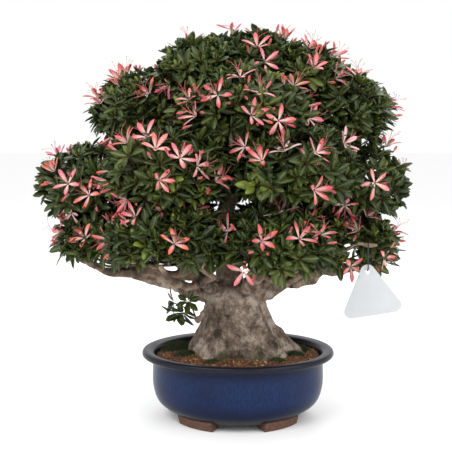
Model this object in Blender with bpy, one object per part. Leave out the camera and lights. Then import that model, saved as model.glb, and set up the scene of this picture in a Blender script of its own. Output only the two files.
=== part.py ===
"""Satsuki azalea bonsai, built together with its oval glazed pot.

Metres, +Z up. The origin is on the ground under the middle of the tree; the camera side is -Y.
The tree stands in the soil of its pot. Leafy sprays and flowering sprays sit on the limb tips,
and a plain tag hangs from a low twig.
"""

import math
import random
from collections import namedtuple

import bmesh
import bpy
from mathutils import Matrix, Vector
from mathutils.bvhtree import BVHTree

# Pot
POT_CENTRE_X = 0.022
POT_SIDES = 36
# Half length, half depth and height of each ring, from the underside over the lip to the inner floor
POT_RINGS = (
    (0.108, 0.097, 0.012),
    (0.133, 0.110, 0.028),
    (0.143, 0.116, 0.056),
    (0.1435, 0.1165, 0.094),
    (0.149, 0.121, 0.103),
    (0.159, 0.130, 0.105),
    (0.161, 0.132, 0.110),
    (0.157, 0.129, 0.115),
    (0.146, 0.117, 0.1135),
    (0.1395, 0.1115, 0.104),
    (0.137, 0.110, 0.060),
    (0.120, 0.099, 0.030),
)
POT_FLOOR = 0.022
POT_FLOOR_INSET = 0.016
FOOT_ANGLES = (28, 68)
FOOT_STEPS = 3
FOOT_OUTER = (0.110, 0.101)
FOOT_INNER = (0.088, 0.079)
FOOT_TOP = 0.0165
DRAIN_HOLE_X = 0.052
DRAIN_HOLE_RADIUS = 0.012
DRAIN_CUT = (0.004, 0.026)
SCREEN_CELLS = 5
SCREEN_CELL = 0.006
SCREEN_THICK = 0.0012

# Soil
SOIL_EDGE = 0.1035
SOIL_MOUND = 0.0075
SOIL_SIDES = 18
SOIL_SIDE_GAP = 0.0005
SOIL_FOOT_INSET = 0.018
SOIL_FOOT_RISE = 0.007
SOIL_TOP_SHARES = (0.78, 0.5)
SOIL_UNEVEN = 0.0008
GAP = 0.0003

# Trunk: height, half width, half depth and centre X of each ring; the roots reach out low down
TRUNK_SIDES = 22
TRUNK_RINGS = (
    (0.092, 0.094, 0.066, 0.030),
    (0.108, 0.092, 0.064, 0.030),
    (0.120, 0.085, 0.058, 0.028),
    (0.138, 0.073, 0.052, 0.024),
    (0.162, 0.058, 0.046, 0.020),
    (0.186, 0.049, 0.041, 0.018),
    (0.210, 0.047, 0.037, 0.015),
    (0.226, 0.040, 0.031, 0.014),
)
TRUNK_CENTRE_Y = 0.006
FLUTES = ((5, 0.045, 0.4), (9, 0.025, 1.9))
ROOT_REACH = 0.020
ROOT_COUNT = 6
ROOT_FADE = 0.016

# Leader: the line that the trunk follows up through the tree, with its radius
LEADER = (
    (0.014, 0.006, 0.195, 0.028),
    (0.004, 0.006, 0.255, 0.021),
    (-0.006, 0.012, 0.320, 0.016),
    (0.018, 0.004, 0.390, 0.013),
    (0.034, 0.008, 0.460, 0.011),
    (0.030, 0.004, 0.530, 0.009),
)
LIMB_SIDES = 5
LIMB_TIP = 0.0065
SPRIG_TIP = 0.004
LIMB_DROP = 0.80
LIMB_INSET = 0.55
LIMB_GNARL = 0.03
# Shares of a limb's length: its level start, its run into the pad, and its straight last stretch
LIMB_LEAD = 0.40
LIMB_RUN_IN = 0.35
LIMB_LAST = 0.12
# Limbs that fork below this height leave the trunk's shoulder nearly level
LOW_FORK = 0.23
SHOULDER = 0.018
# How far a limb goes outward and up as it leaves the wood, low down and higher up
LOW_START = (0.85, 0.10)
HIGH_START = (0.70, 0.35)
UP = Vector((0, 0, 1))

Pad = namedtuple("Pad", "name centre radii fork limb_radius blooms")
# Each pad of foliage: name, centre, half sizes, height where its limb leaves the leader,
# radius of the limb there, and the flowers on the sides that the front view doesn't show
PADS = (
    Pad("crown_left", (-0.032, -0.010, 0.566), (0.074, 0.096, 0.056), 0.50, 0.009, 3),
    Pad("crown_top", (0.042, 0.010, 0.577), (0.074, 0.100, 0.057), 0.51, 0.009, 4),
    Pad("crown_right", (0.120, 0.000, 0.557), (0.074, 0.092, 0.056), 0.50, 0.009, 3),
    Pad("shoulder_left", (-0.130, 0.000, 0.508), (0.080, 0.090, 0.063), 0.40, 0.010, 4),
    Pad("shoulder_right", (0.188, 0.000, 0.508), (0.080, 0.090, 0.063), 0.40, 0.010, 4),
    Pad("shoulder_front", (0.028, -0.118, 0.504), (0.100, 0.080, 0.063), 0.42, 0.009, 1),
    Pad("shoulder_back", (0.035, 0.128, 0.504), (0.105, 0.085, 0.063), 0.42, 0.009, 6),
    Pad("middle_left", (-0.203, -0.005, 0.390), (0.095, 0.098, 0.062), 0.27, 0.013, 5),
    Pad("middle_front_left", (-0.082, -0.142, 0.420), (0.092, 0.085, 0.062), 0.29, 0.011, 1),
    Pad("middle_front_right", (0.098, -0.146, 0.424), (0.092, 0.085, 0.062), 0.30, 0.011, 1),
    Pad("middle_right", (0.199, -0.005, 0.394), (0.092, 0.098, 0.064), 0.27, 0.013, 5),
    Pad("middle_back_left", (-0.095, 0.148, 0.406), (0.096, 0.088, 0.066), 0.29, 0.011, 6),
    Pad("middle_back_right", (0.105, 0.148, 0.410), (0.096, 0.088, 0.066), 0.30, 0.011, 6),
    Pad("lower_left", (-0.180, -0.025, 0.305), (0.088, 0.093, 0.052), 0.205, 0.017, 5),
    Pad("lower_front_left", (-0.083, -0.160, 0.318), (0.085, 0.072, 0.050), 0.215, 0.013, 1),
    Pad("lower_front_right", (0.074, -0.163, 0.311), (0.085, 0.072, 0.050), 0.215, 0.013, 1),
    Pad("lower_right", (0.186, -0.025, 0.297), (0.090, 0.093, 0.056), 0.205, 0.017, 5),
    Pad("lower_back_left", (-0.100, 0.142, 0.303), (0.094, 0.086, 0.054), 0.21, 0.014, 6),
    Pad("lower_back_right", (0.108, 0.142, 0.301), (0.094, 0.086, 0.054), 0.21, 0.014, 6),
)
SPRIG = Pad("trunk_sprig", (-0.062, -0.040, 0.196), (0.030, 0.026, 0.026), 0.222, 0.007, 0)

# The front view that the flowers' places were read from, and those places in its pixels
VIEW_EYE = Vector((0.002, -1.5, 0.49))
VIEW_PITCH = math.radians(6.4)
VIEW_FOCAL = 909.0
VIEW_MIDDLE = 226.0
NEAREST_DEPTH = 1.2
DEPTH_STEP = 0.003
DEPTH_STEPS = 150
FRONT_BLOOMS = (
    (231, 29), (284, 40), (257, 47), (307, 49), (264, 62), (313, 69), (240, 77), (293, 86),
    (334, 79), (356, 76), (259, 93), (150, 94), (170, 84), (190, 100), (218, 95), (173, 118),
    (101, 104), (122, 80), (196, 116), (251, 115), (278, 121), (308, 118), (112, 137), (128, 143),
    (147, 137), (156, 149), (180, 158), (197, 166), (245, 147), (262, 161), (285, 151), (316, 153),
    (216, 182), (159, 180), (107, 181), (68, 184), (54, 172), (89, 195), (71, 213), (111, 226),
    (84, 238), (59, 232), (135, 217), (160, 211), (196, 211), (226, 213), (228, 232), (174, 244),
    (244, 271), (262, 241), (281, 213), (300, 239), (321, 235), (359, 231), (367, 217), (352, 267),
    (386, 257), (375, 183), (314, 190), (386, 146), (127, 199), (345, 205),
)

# Sprays
LEAF_BLADES = 5
LEAF_TIP = 0.041
LEAF_NOTCH = 0.0165
BLOOM_PETALS = 5
BLOOM_TIP = 0.0245
BLOOM_NOTCH = 0.0062
LEAF_CUP = 0.010
BLOOM_CUP = 0.004
BLADE_THICK = 0.0026
STAR_DIP = 0.0004
STALK_RADIUS = 0.0015
STALK_SHARES = (0.15, 0.93)
SPINE_SIDES = 5
SPINE_RADII = (0.0024, 0.0024, 0.0022, 0.0020)
SPINE_OFFSET = 0.0031
SPINE_START = 0.010
SPINE_SAG = 0.006
# Side, lift and reach of the leafy spine and of the flowering one
SPINE_PLANS = ((1, 0.0, 0.50), (-1, 0.010, 0.46))
SPINE_SPREAD = (0.008, 0.012)
SPINE_BACK = 0.05
SIZES = (0.82, 1.08)
STEEPEST_LEAN = 1.0
LEAF_SKIN = 0.86
BLOOM_SKIN = 1.04
LEAF_SPACING = 0.0515
LEAF_TO_BLOOM = 0.030
BLOOM_SPACING = 0.050
TRIES_PER_PAD = 400
LOWEST_NORMAL = -0.50
LOWEST_BLOOM = -0.15
FRONT_NORMAL = -0.35
BURIED = 0.80
SPRIG_WAYS = ((-1, -0.3, 0.3), (-0.3, -0.8, -0.5), (-0.7, 0.2, -0.7), (0.1, -0.9, 0.5))
SPRIG_TIP_REACH = 0.022
SPRIG_NOTCH = 0.006
CLEARANCE = 0.0004

# Tag and its tie
TAG_X = 0.2184
TAG_Y = -0.128
TAG_HOLE_Z = 0.2652
TAG_SIDE = 0.086
TAG_CORNER = 0.011
TAG_THICK = 0.0012
TAG_HOLE_RADIUS = 0.0036
TAG_HOLE_DROP = 0.001
TAG_TURN = math.radians(-9)
TIE_RADIUS = 0.0009
TIE_BEND = 0.0042
TIE_GAP = 0.0006
TAG_TWIG_Z = 0.3065
TAG_TWIG_RADIUS = 0.0026
TAG_TWIG_ROOT = 0.012
TAG_TWIG_ELBOW = (0.020, -0.045, 0.012)
TAG_TWIG_RISE = (-0.022, 0.004, -0.001)
TAG_TWIG_END = 0.014
TAG_TWIG_RADII = (0.004, 0.0034, TAG_TWIG_RADIUS, TAG_TWIG_RADIUS, 0.0022)


def material(name, colour, roughness, metallic=0.0):
    """A plain finish of one colour."""
    finish = bpy.data.materials.new(name)
    finish.use_nodes = True
    shader = finish.node_tree.nodes["Principled BSDF"]
    shader.inputs["Base Color"].default_value = (*colour, 1.0)
    shader.inputs["Roughness"].default_value = roughness
    shader.inputs["Metallic"].default_value = metallic
    return finish


def mesh_object(name, points, faces, finish=None):
    """A new object from points and faces, with its normals turned outward."""
    mesh = bpy.data.meshes.new(name)
    mesh.from_pydata([tuple(p) for p in points], [], faces)
    shell = bmesh.new()
    shell.from_mesh(mesh)
    bmesh.ops.recalc_face_normals(shell, faces=shell.faces)
    if shell.calc_volume(signed=True) < 0:
        bmesh.ops.reverse_faces(shell, faces=shell.faces)
    shell.to_mesh(mesh)
    shell.free()
    item = bpy.data.objects.new(name, mesh)
    bpy.context.scene.collection.objects.link(item)
    if finish:
        mesh.materials.append(finish)
    return item


def combine(item, others, operation, solver="MANIFOLD"):
    """Join the others to an object, or cut them from it, and remove them."""
    group = bpy.data.collections.new("operands")
    bpy.context.scene.collection.children.link(group)
    for other in others:
        bpy.context.scene.collection.objects.unlink(other)
        group.objects.link(other)
    step = item.modifiers.new("combine", "BOOLEAN")
    step.operation = operation
    step.solver = solver
    step.operand_type = "COLLECTION"
    step.collection = group
    bpy.context.view_layer.update()
    seen = item.evaluated_get(bpy.context.evaluated_depsgraph_get())
    joined = bpy.data.meshes.new_from_object(seen)
    item.modifiers.clear()
    item.data = joined
    for other in others:
        bpy.data.objects.remove(other)
    bpy.data.collections.remove(group)


def drop_scraps(item):
    """Keep only the largest closed body of an object."""
    shell = bmesh.new()
    shell.from_mesh(item.data)
    left = set(shell.verts)
    bodies = []
    while left:
        stack = [left.pop()]
        body = set(stack)
        while stack:
            vertex = stack.pop()
            for edge in vertex.link_edges:
                other = edge.other_vert(vertex)
                if other in left:
                    left.discard(other)
                    body.add(other)
                    stack.append(other)
        bodies.append(body)
    bodies.sort(key=len)
    for body in bodies[:-1]:
        bmesh.ops.delete(shell, geom=list(body), context="VERTS")
    shell.to_mesh(item.data)
    shell.free()


def smooth(item, angle=40):
    """Shade an object smooth, except across its sharp edges."""
    item.data.shade_smooth()
    item.data.set_sharp_from_angle(angle=math.radians(angle))


def ring_faces(rings, sides, split=False):
    """Faces that join rings of points one after another and close both ends."""
    faces = [tuple(range(sides)), tuple(range((rings - 1) * sides, rings * sides))]
    for ring in range(rings - 1):
        for side in range(sides):
            a = ring * sides + side
            b = ring * sides + (side + 1) % sides
            if split:
                faces += [(a, b, b + sides), (a, b + sides, a + sides)]
            else:
                faces.append((a, b, b + sides, a + sides))
    return faces


def oval_point(half_x, half_y, height, step, steps):
    """A point on an oval ring round the pot's own centre line."""
    turn = math.tau * step / steps
    return Vector((POT_CENTRE_X + half_x * math.cos(turn), half_y * math.sin(turn), height))


def tube(name, route, radii, sides, finish=None):
    """A closed tapered tube along a route, its end faces square to the route."""
    count = len(route)
    points = []
    across = None
    for index, centre in enumerate(route):
        before = route[max(index - 1, 0)]
        after = route[min(index + 1, count - 1)]
        along = (after - before).normalized()
        if across is None:
            across = along.orthogonal().normalized()
        across = (across - along * across.dot(along)).normalized()
        beside = along.cross(across)
        for side in range(sides):
            turn = math.tau * side / sides
            offset = across * math.cos(turn) + beside * math.sin(turn)
            points.append(centre + offset * radii[index])
    return mesh_object(name, points, ring_faces(count, sides), finish)


def make_pot(finish):
    """The fired pot: oval wall and rolled lip, four feet and two drain holes."""
    points = []
    for half_x, half_y, height in POT_RINGS:
        for step in range(POT_SIDES):
            points.append(oval_point(half_x, half_y, height, step, POT_SIDES))
    inner_x, inner_y, _ = POT_RINGS[-1]
    for step in range(POT_SIDES):
        half_x, half_y = inner_x - POT_FLOOR_INSET, inner_y - POT_FLOOR_INSET
        points.append(oval_point(half_x, half_y, POT_FLOOR, step, POT_SIDES))
    pot = mesh_object("pot", points, ring_faces(len(POT_RINGS) + 1, POT_SIDES), finish)
    feet = []
    for mirror_x in (1, -1):
        for mirror_y in (1, -1):
            feet.append(make_foot(mirror_x, mirror_y))
    combine(pot, feet, "UNION")
    combine(pot, [drain_cutter(side) for side in (1, -1)], "DIFFERENCE")
    smooth(pot)
    return pot


def make_foot(mirror_x, mirror_y):
    """One curved foot under the edge of the base."""
    points = []
    first, last = FOOT_ANGLES
    for step in range(FOOT_STEPS + 1):
        turn = math.radians(first + (last - first) * step / FOOT_STEPS)
        for (half_x, half_y), height in (
            (FOOT_OUTER, 0.0), (FOOT_INNER, 0.0), (FOOT_INNER, FOOT_TOP), (FOOT_OUTER, FOOT_TOP),
        ):
            x = POT_CENTRE_X + mirror_x * half_x * math.cos(turn)
            points.append((x, mirror_y * half_y * math.sin(turn), height))
    return mesh_object("foot", points, ring_faces(FOOT_STEPS + 1, 4))


def drain_cutter(side):
    """A round cutter through the pot's floor."""
    centre = Vector((POT_CENTRE_X + side * DRAIN_HOLE_X, 0, 0))
    route = [centre + Vector((0, 0, z)) for z in DRAIN_CUT]
    return tube("drain_cutter", route, [DRAIN_HOLE_RADIUS] * 2, 12)


def make_drain_screen(name, side, finish):
    """A square net of plastic that lies over a drain hole inside the pot."""
    cells = SCREEN_CELLS
    corner = Vector((1, 1, 0)) * cells * SCREEN_CELL / 2
    start = Vector((POT_CENTRE_X + side * DRAIN_HOLE_X, 0, POT_FLOOR + GAP)) - corner
    net = bmesh.new()
    grid = [
        [net.verts.new(start + Vector((i, j, 0)) * SCREEN_CELL) for j in range(cells + 1)]
        for i in range(cells + 1)
    ]
    for i in range(cells):
        for j in range(cells):
            if i % 2 and j % 2:
                continue
            net.faces.new((grid[i][j], grid[i + 1][j], grid[i + 1][j + 1], grid[i][j + 1]))
    lifted = bmesh.ops.extrude_face_region(net, geom=list(net.faces))
    moved = [part for part in lifted["geom"] if isinstance(part, bmesh.types.BMVert)]
    bmesh.ops.translate(net, verts=moved, vec=(0, 0, SCREEN_THICK))
    bmesh.ops.recalc_face_normals(net, faces=net.faces)
    mesh = bpy.data.meshes.new(name)
    net.to_mesh(mesh)
    net.free()
    mesh.materials.append(finish)
    screen = bpy.data.objects.new(name, mesh)
    bpy.context.scene.collection.objects.link(screen)
    return screen


def make_soil(finish):
    """The soil that fills the pot, its top uneven and mounded towards the trunk."""
    chance = random.Random(11)
    points = []
    floor = POT_FLOOR + GAP + SCREEN_THICK + GAP
    foot, middle, edge = POT_RINGS[11], POT_RINGS[10], POT_RINGS[9]
    inset = SOIL_SIDE_GAP
    rings = [
        (foot[0] - SOIL_FOOT_INSET, foot[1] - SOIL_FOOT_INSET, floor, 0),
        (foot[0] - inset, foot[1] - inset, floor + SOIL_FOOT_RISE, 0),
        (middle[0] - inset, middle[1] - inset, middle[2], 0),
        (edge[0] - inset, edge[1] - inset, SOIL_EDGE, 0),
    ]
    for share in SOIL_TOP_SHARES:
        rise = SOIL_MOUND * (1 - share) / (1 - SOIL_TOP_SHARES[-1])
        rings.append((edge[0] * share, edge[1] * share, SOIL_EDGE + rise, SOIL_UNEVEN))
    for half_x, half_y, height, uneven in rings:
        for step in range(SOIL_SIDES):
            level = height + chance.uniform(-1, 1) * uneven
            points.append(oval_point(half_x, half_y, level, step, SOIL_SIDES))
    return mesh_object("soil", points, ring_faces(len(rings), SOIL_SIDES, True), finish)


def trunk_points(grow):
    """Rings of the fluted trunk; low down its lobes run out into roots."""
    points = []
    for height, half_x, half_y, centre_x in TRUNK_RINGS:
        for side in range(TRUNK_SIDES):
            turn = math.tau * side / TRUNK_SIDES
            flute = sum(depth * math.sin(count * turn + lag) for count, depth, lag in FLUTES)
            fade = math.exp(-(height - TRUNK_RINGS[0][0]) / ROOT_FADE)
            root = ROOT_REACH * fade * max(0.0, math.cos(ROOT_COUNT * turn + 0.5))
            points.append((
                centre_x + (half_x * (1 + flute) + root + grow) * math.cos(turn),
                TRUNK_CENTRE_Y + (half_y * (1 + flute) + root + grow) * math.sin(turn),
                height,
            ))
    return points


def make_root_cutter():
    """The trunk's foot, a little larger, to clear its hole in the soil."""
    points = trunk_points(2 * GAP)
    points = [(x, y, z - GAP if z < 0.1 else z) for x, y, z in points]
    return mesh_object("root_cutter", points, ring_faces(len(TRUNK_RINGS), TRUNK_SIDES, True))


def leader_at(height):
    """Where the leader is at a height."""
    for low, high in zip(LEADER, LEADER[1:]):
        if height <= high[2]:
            break
    share = min(max((height - low[2]) / (high[2] - low[2]), 0), 1)
    return Vector(low[:3]).lerp(Vector(high[:3]), share)


def outward(pad):
    """The level direction from the leader to a pad."""
    centre = Vector(pad.centre)
    way = centre - leader_at(centre.z)
    way.z = 0
    return way.normalized()


def limb_end(pad):
    """Where a pad's limb ends, inside the foot of the pad, and the way it points."""
    centre = Vector(pad.centre)
    radii = Vector(pad.radii)
    reach = min(radii.x, (centre - leader_at(centre.z)).length * 0.6)
    tip = centre - outward(pad) * reach * LIMB_INSET - UP * radii.z * LIMB_DROP
    return tip, (centre - tip).normalized()


def limb_route(pad, steps, chance):
    """A gnarled curve from the leader, or the trunk's shoulder, out to the pad."""
    start = leader_at(pad.fork)
    level, rise = HIGH_START
    if pad.fork < LOW_FORK:
        start = start + outward(pad) * SHOULDER
        level, rise = LOW_START
    tip, way = limb_end(pad)
    length = (tip - start).length
    first = start + (outward(pad) * level + UP * rise) * length * LIMB_LEAD
    second = tip - way * length * LIMB_RUN_IN
    route = []
    for step in range(steps + 1):
        t = step / steps
        s = 1 - t
        point = start * s**3 + first * 3 * s * s * t + second * 3 * s * t * t + tip * t**3
        if 0 < step < steps - 1:
            bend = Vector([chance.uniform(-1, 1) for _ in range(3)])
            point += bend * LIMB_GNARL * length
        route.append(point)
    route[-2] = tip - way * length * LIMB_LAST
    return route


def make_wood(finish):
    """The tree's wood in one piece: root base, trunk, leader, limbs and a few bare twigs."""
    chance = random.Random(5)
    faces = ring_faces(len(TRUNK_RINGS), TRUNK_SIDES, True)
    wood = mesh_object("trunk_and_limbs", trunk_points(0.0), faces, finish)
    parts = [tube("leader", [Vector(p[:3]) for p in LEADER], [p[3] for p in LEADER], 7)]
    for pad in PADS + (SPRIG,):
        steps = 5 if pad.fork < 0.3 else 4
        route = limb_route(pad, steps, chance)
        tip = LIMB_TIP if pad is not SPRIG else SPRIG_TIP
        radii = [pad.limb_radius + (tip - pad.limb_radius) * i / steps for i in range(steps + 1)]
        parts.append(tube("limb_" + pad.name, route, radii, LIMB_SIDES))
    parts.append(tag_twig())
    combine(wood, parts, "UNION")
    drop_scraps(wood)
    smooth(wood, 50)
    return wood


def tag_twig():
    """The low bare twig, level at its end, that the tag's tie goes round."""
    pad = next(pad for pad in PADS if pad.name == "lower_right")
    tip, way = limb_end(pad)
    loop = Vector((TAG_X, TAG_Y, TAG_TWIG_Z))
    route = [
        tip - way * TAG_TWIG_ROOT,
        tip + Vector(TAG_TWIG_ELBOW),
        loop + Vector(TAG_TWIG_RISE),
        loop,
        loop + Vector((TAG_TWIG_END, 0, 0)),
    ]
    return tube("tag_twig", route, TAG_TWIG_RADII, 6)


def rosette_parts(centre, axis, spin, blades, tip, notch, cup, root, grow=0.0):
    """Points and faces of a star of blades and of its three-sided stalk down to a root."""
    way = (centre - root).normalized()
    lean = axis.rotation_difference(way)
    across = axis.orthogonal().normalized()
    beside = axis.cross(across)
    rim = 2 * blades
    points = []
    for index in range(rim):
        turn = spin + math.pi * index / blades
        reach = (notch if index % 2 else tip) + grow
        rise = 0.0 if index % 2 else cup
        level = across * math.cos(turn) + beside * math.sin(turn)
        points.append(centre + level * reach + axis * rise)
    points.append(centre + axis * (grow - STAR_DIP))
    for ring in range(2):
        for corner in range(3):
            turn = spin + math.tau * (corner + 0.5) / 3
            offset = across * math.cos(turn) + beside * math.sin(turn)
            if ring:
                points.append(root + lean @ offset * (STALK_RADIUS * 0.6 + grow))
            else:
                low = axis * (BLADE_THICK + grow)
                points.append(centre + offset * (STALK_RADIUS + grow) - low)
    top = rim
    star = []
    for index in range(rim):
        after = (index + 1) % rim
        star.append((index, after, top))
        near = top + 1 + int((index + 0.5) * 3 / rim)
        nearest = top + 1 + int((after + 0.5) * 3 / rim)
        star.append((after, index, near))
        if near != nearest:
            star.append((after, near, nearest))
    stalk = []
    for corner in range(3):
        a = top + 1 + corner
        b = top + 1 + (corner + 1) % 3
        stalk.append((a, a + 3, b + 3, b))
    stalk.append((top + 6, top + 5, top + 4))
    return points, star, stalk


class Keepout:
    """What is already placed, to test a new piece against."""

    def __init__(self):
        self.items = []

    def add(self, owner, points, faces):
        self.items.append((owner, bounds_of(points), BVHTree.FromPolygons(points, faces)))

    def is_clear(self, owner, points, faces, own_faces=None):
        """True if the piece touches no other owner's, and its own_faces none of its owner's."""
        box = bounds_of(points)
        whole = None
        part = None
        for other, other_box, tree in self.items:
            if not boxes_meet(box, other_box):
                continue
            if other == owner:
                if own_faces is None:
                    continue
                part = part or BVHTree.FromPolygons(points, own_faces)
                if part.overlap(tree):
                    return False
            else:
                whole = whole or BVHTree.FromPolygons(points, faces)
                if whole.overlap(tree):
                    return False
        return True


def bounds_of(points):
    low = [min(p[axis] for p in points) for axis in range(3)]
    high = [max(p[axis] for p in points) for axis in range(3)]
    return low, high


def boxes_meet(one, two):
    return all(one[0][i] <= two[1][i] and two[0][i] <= one[1][i] for i in range(3))


def skin_value(pad, point):
    """Less than one inside the pad, one on its skin."""
    return math.sqrt(sum(((point[i] - pad.centre[i]) / pad.radii[i]) ** 2 for i in range(3)))


def skin_normal(pad, point):
    return Vector([(point[i] - pad.centre[i]) / pad.radii[i] ** 2 for i in range(3)]).normalized()


def front_place(px, py):
    """The pad and the point on its skin that the front view shows at a pixel."""
    pitch = VIEW_PITCH + math.atan2(py - VIEW_MIDDLE, VIEW_FOCAL)
    ray = Vector(((px - VIEW_MIDDLE) / VIEW_FOCAL, 1.0, -math.tan(pitch)))
    best = None
    nearest = None
    for pad in PADS:
        for step in range(DEPTH_STEPS):
            depth = NEAREST_DEPTH + step * DEPTH_STEP
            point = VIEW_EYE + ray * depth
            value = skin_value(pad, point) / BLOOM_SKIN
            if nearest is None or value < nearest[0]:
                nearest = (value, pad, point)
            if value <= 1:
                if best is None or depth < best[0]:
                    best = (depth, pad, point)
                break
    return (best or nearest)[1:]


def spine_routes(pad):
    """The leafy and the flowering spine, side by side on the end of the pad's limb."""
    tip, way = limb_end(pad)
    side = way.cross(UP).normalized()
    centre = Vector(pad.centre)
    out = outward(pad)
    radii = Vector(pad.radii)
    routes = []
    near, far = SPINE_SPREAD
    for sign, lift, reach in SPINE_PLANS:
        start = tip + side * sign * SPINE_OFFSET + way * GAP
        routes.append([
            start,
            start + way * SPINE_START,
            centre + side * sign * near - out * radii.x * SPINE_BACK + UP * (lift - SPINE_SAG),
            centre + side * sign * far + out * radii.x * reach + UP * lift,
        ])
    return routes


def add_rosette(keepout, owner, spine, centre, normal, blades, tip, notch, cup, chance, tries):
    """Find a turn, size and stalk for a rosette that touches nothing; None if there is none."""
    for _ in range(tries):
        share = chance.uniform(*STALK_SHARES)
        index = min(int(share * 2), 1)
        root = spine[1 + index].lerp(spine[2 + index], share * 2 - index)
        way = (centre - root).normalized()
        axis = (normal * 0.45 + way * 0.45 + UP * 0.25).normalized()
        if axis.angle(way) > STEEPEST_LEAN:
            axis = (axis + way * 1.2).normalized()
        spin = chance.uniform(0, math.tau)
        size = chance.uniform(*SIZES)
        shape = (centre, axis, spin, blades, tip * size, notch * size, cup * size, root)
        points, star, stalk = rosette_parts(*shape, grow=CLEARANCE)
        if keepout.is_clear(owner, points, star + stalk, star):
            points, star, stalk = rosette_parts(*shape)
            keepout.add(owner, points, star + stalk)
            return points, star + stalk
    return None


def bloom_places():
    """Pad, point and normal of every flower: those read from the front, then the other sides."""
    chance = random.Random(23)
    places = []
    for px, py in FRONT_BLOOMS:
        pad, point = front_place(px, py)
        places.append((pad, point, skin_normal(pad, point)))
    for pad in PADS:
        found = 0
        for _ in range(400):
            if found == pad.blooms:
                break
            point, normal = random_skin_point(pad, chance, BLOOM_SKIN)
            if normal.y < FRONT_NORMAL or normal.z < LOWEST_BLOOM or buried(pad, point):
                continue
            if all((point - other).length > BLOOM_SPACING for _, other, _ in places):
                places.append((pad, point, normal))
                found += 1
    return places


def random_skin_point(pad, chance, skin):
    """A point on the skin where a pad's leaves or flowers stand, with its normal."""
    while True:
        way = Vector([chance.uniform(-1, 1) for _ in range(3)])
        if 0.1 < way.length < 1:
            break
    way.normalize()
    point = Vector([pad.centre[i] + way[i] * pad.radii[i] * skin for i in range(3)])
    return point, skin_normal(pad, point)


def buried(pad, point):
    """True if the point is well inside another pad."""
    return any(other is not pad and skin_value(other, point) < BURIED for other in PADS)


def make_sprays(wood, others, leaf_finish, petal_finish):
    """The leafy and the flowering spray of every pad, each joined in one piece."""
    chance = random.Random(41)
    keepout = Keepout()
    for item in [wood] + others:
        faces = [tuple(face.vertices) for face in item.data.polygons]
        keepout.add(item.name, [item.matrix_world @ v.co for v in item.data.vertices], faces)
    routes = {}
    pieces = {}
    for pad in PADS + (SPRIG,):
        leafy, flowering = spine_routes(pad)
        routes[pad.name] = (leafy, flowering)
        pieces["leaves_" + pad.name] = [spine_tube("leaves_" + pad.name, leafy, leaf_finish, keepout)]
        if pad is not SPRIG:
            name = "blooms_" + pad.name
            pieces[name] = [spine_tube(name, flowering, petal_finish, keepout)]
    blooms = bloom_places()
    standing = []
    for pad, point, normal in blooms:
        name = "blooms_" + pad.name
        spine = routes[pad.name][1]
        found = add_rosette(keepout, name, spine, point, normal, BLOOM_PETALS,
                            BLOOM_TIP, BLOOM_NOTCH, BLOOM_CUP, chance, 30)
        if found:
            pieces[name].append(mesh_object("bloom", *found))
            standing.append(point)
    whorls = []
    for pad in list(PADS) * TRIES_PER_PAD:
        name = "leaves_" + pad.name
        point, normal = random_skin_point(pad, chance, LEAF_SKIN)
        if normal.z < LOWEST_NORMAL or buried(pad, point):
            continue
        if any((point - other).length < LEAF_SPACING for other in whorls):
            continue
        if any((point - other).length < LEAF_TO_BLOOM for other in standing):
            continue
        found = add_rosette(keepout, name, routes[pad.name][0], point, normal, LEAF_BLADES,
                            LEAF_TIP, LEAF_NOTCH, LEAF_CUP, chance, 10)
        if found:
            pieces[name].append(mesh_object("whorl", *found))
            whorls.append(point)
    sprig_whorls(keepout, routes[SPRIG.name][0], pieces["leaves_" + SPRIG.name], chance)
    for name, parts in pieces.items():
        if len(parts) > 1:
            combine(parts[0], parts[1:], "UNION")
            drop_scraps(parts[0])


def spine_tube(name, route, finish, keepout):
    """A spray's spine, also noted as placed."""
    spine = tube(name, route, SPINE_RADII, SPINE_SIDES, finish)
    faces = [tuple(face.vertices) for face in spine.data.polygons]
    keepout.add(name, [v.co.copy() for v in spine.data.vertices], faces)
    return spine


def sprig_whorls(keepout, spine, parts, chance):
    """The small rosettes of the sprig that hangs beside the trunk."""
    for way in SPRIG_WAYS:
        normal = Vector(way).normalized()
        point = Vector(SPRIG.centre) + Vector([normal[i] * SPRIG.radii[i] for i in range(3)])
        found = add_rosette(keepout, parts[0].name, spine, point, normal, LEAF_BLADES,
                            SPRIG_TIP_REACH, SPRIG_NOTCH, SPRIG_NOTCH, chance, 40)
        if found:
            parts.append(mesh_object("whorl", *found))


def make_tag(finish):
    """The bare triangular tag with rounded corners, hung by the hole near its top corner."""
    corner_ring = TAG_SIDE / math.sqrt(3) - TAG_CORNER
    outline = []
    for corner in range(3):
        middle = math.radians(90 + 120 * corner)
        for step in range(5):
            turn = middle + math.radians(-60 + 30 * step)
            x = corner_ring * math.cos(middle) + TAG_CORNER * math.cos(turn)
            z = corner_ring * math.sin(middle) + TAG_CORNER * math.sin(turn)
            outline.append((x, z))
    hole_height = corner_ring - TAG_HOLE_DROP
    points = []
    for y in (-TAG_THICK / 2, TAG_THICK / 2):
        points += [(x, y, z - hole_height) for x, z in outline]
    tag = mesh_object("tag", points, ring_faces(2, len(outline)), finish)
    route = [Vector((0, y, 0)) for y in (-0.01, 0.01)]
    combine(tag, [tube("hole_cutter", route, [TAG_HOLE_RADIUS] * 2, 12)], "DIFFERENCE")
    tag.data.transform(
        Matrix.Translation((TAG_X, TAG_Y, TAG_HOLE_Z)) @ Matrix.Rotation(TAG_TURN, 4, "Y")
    )
    return tag


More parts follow.
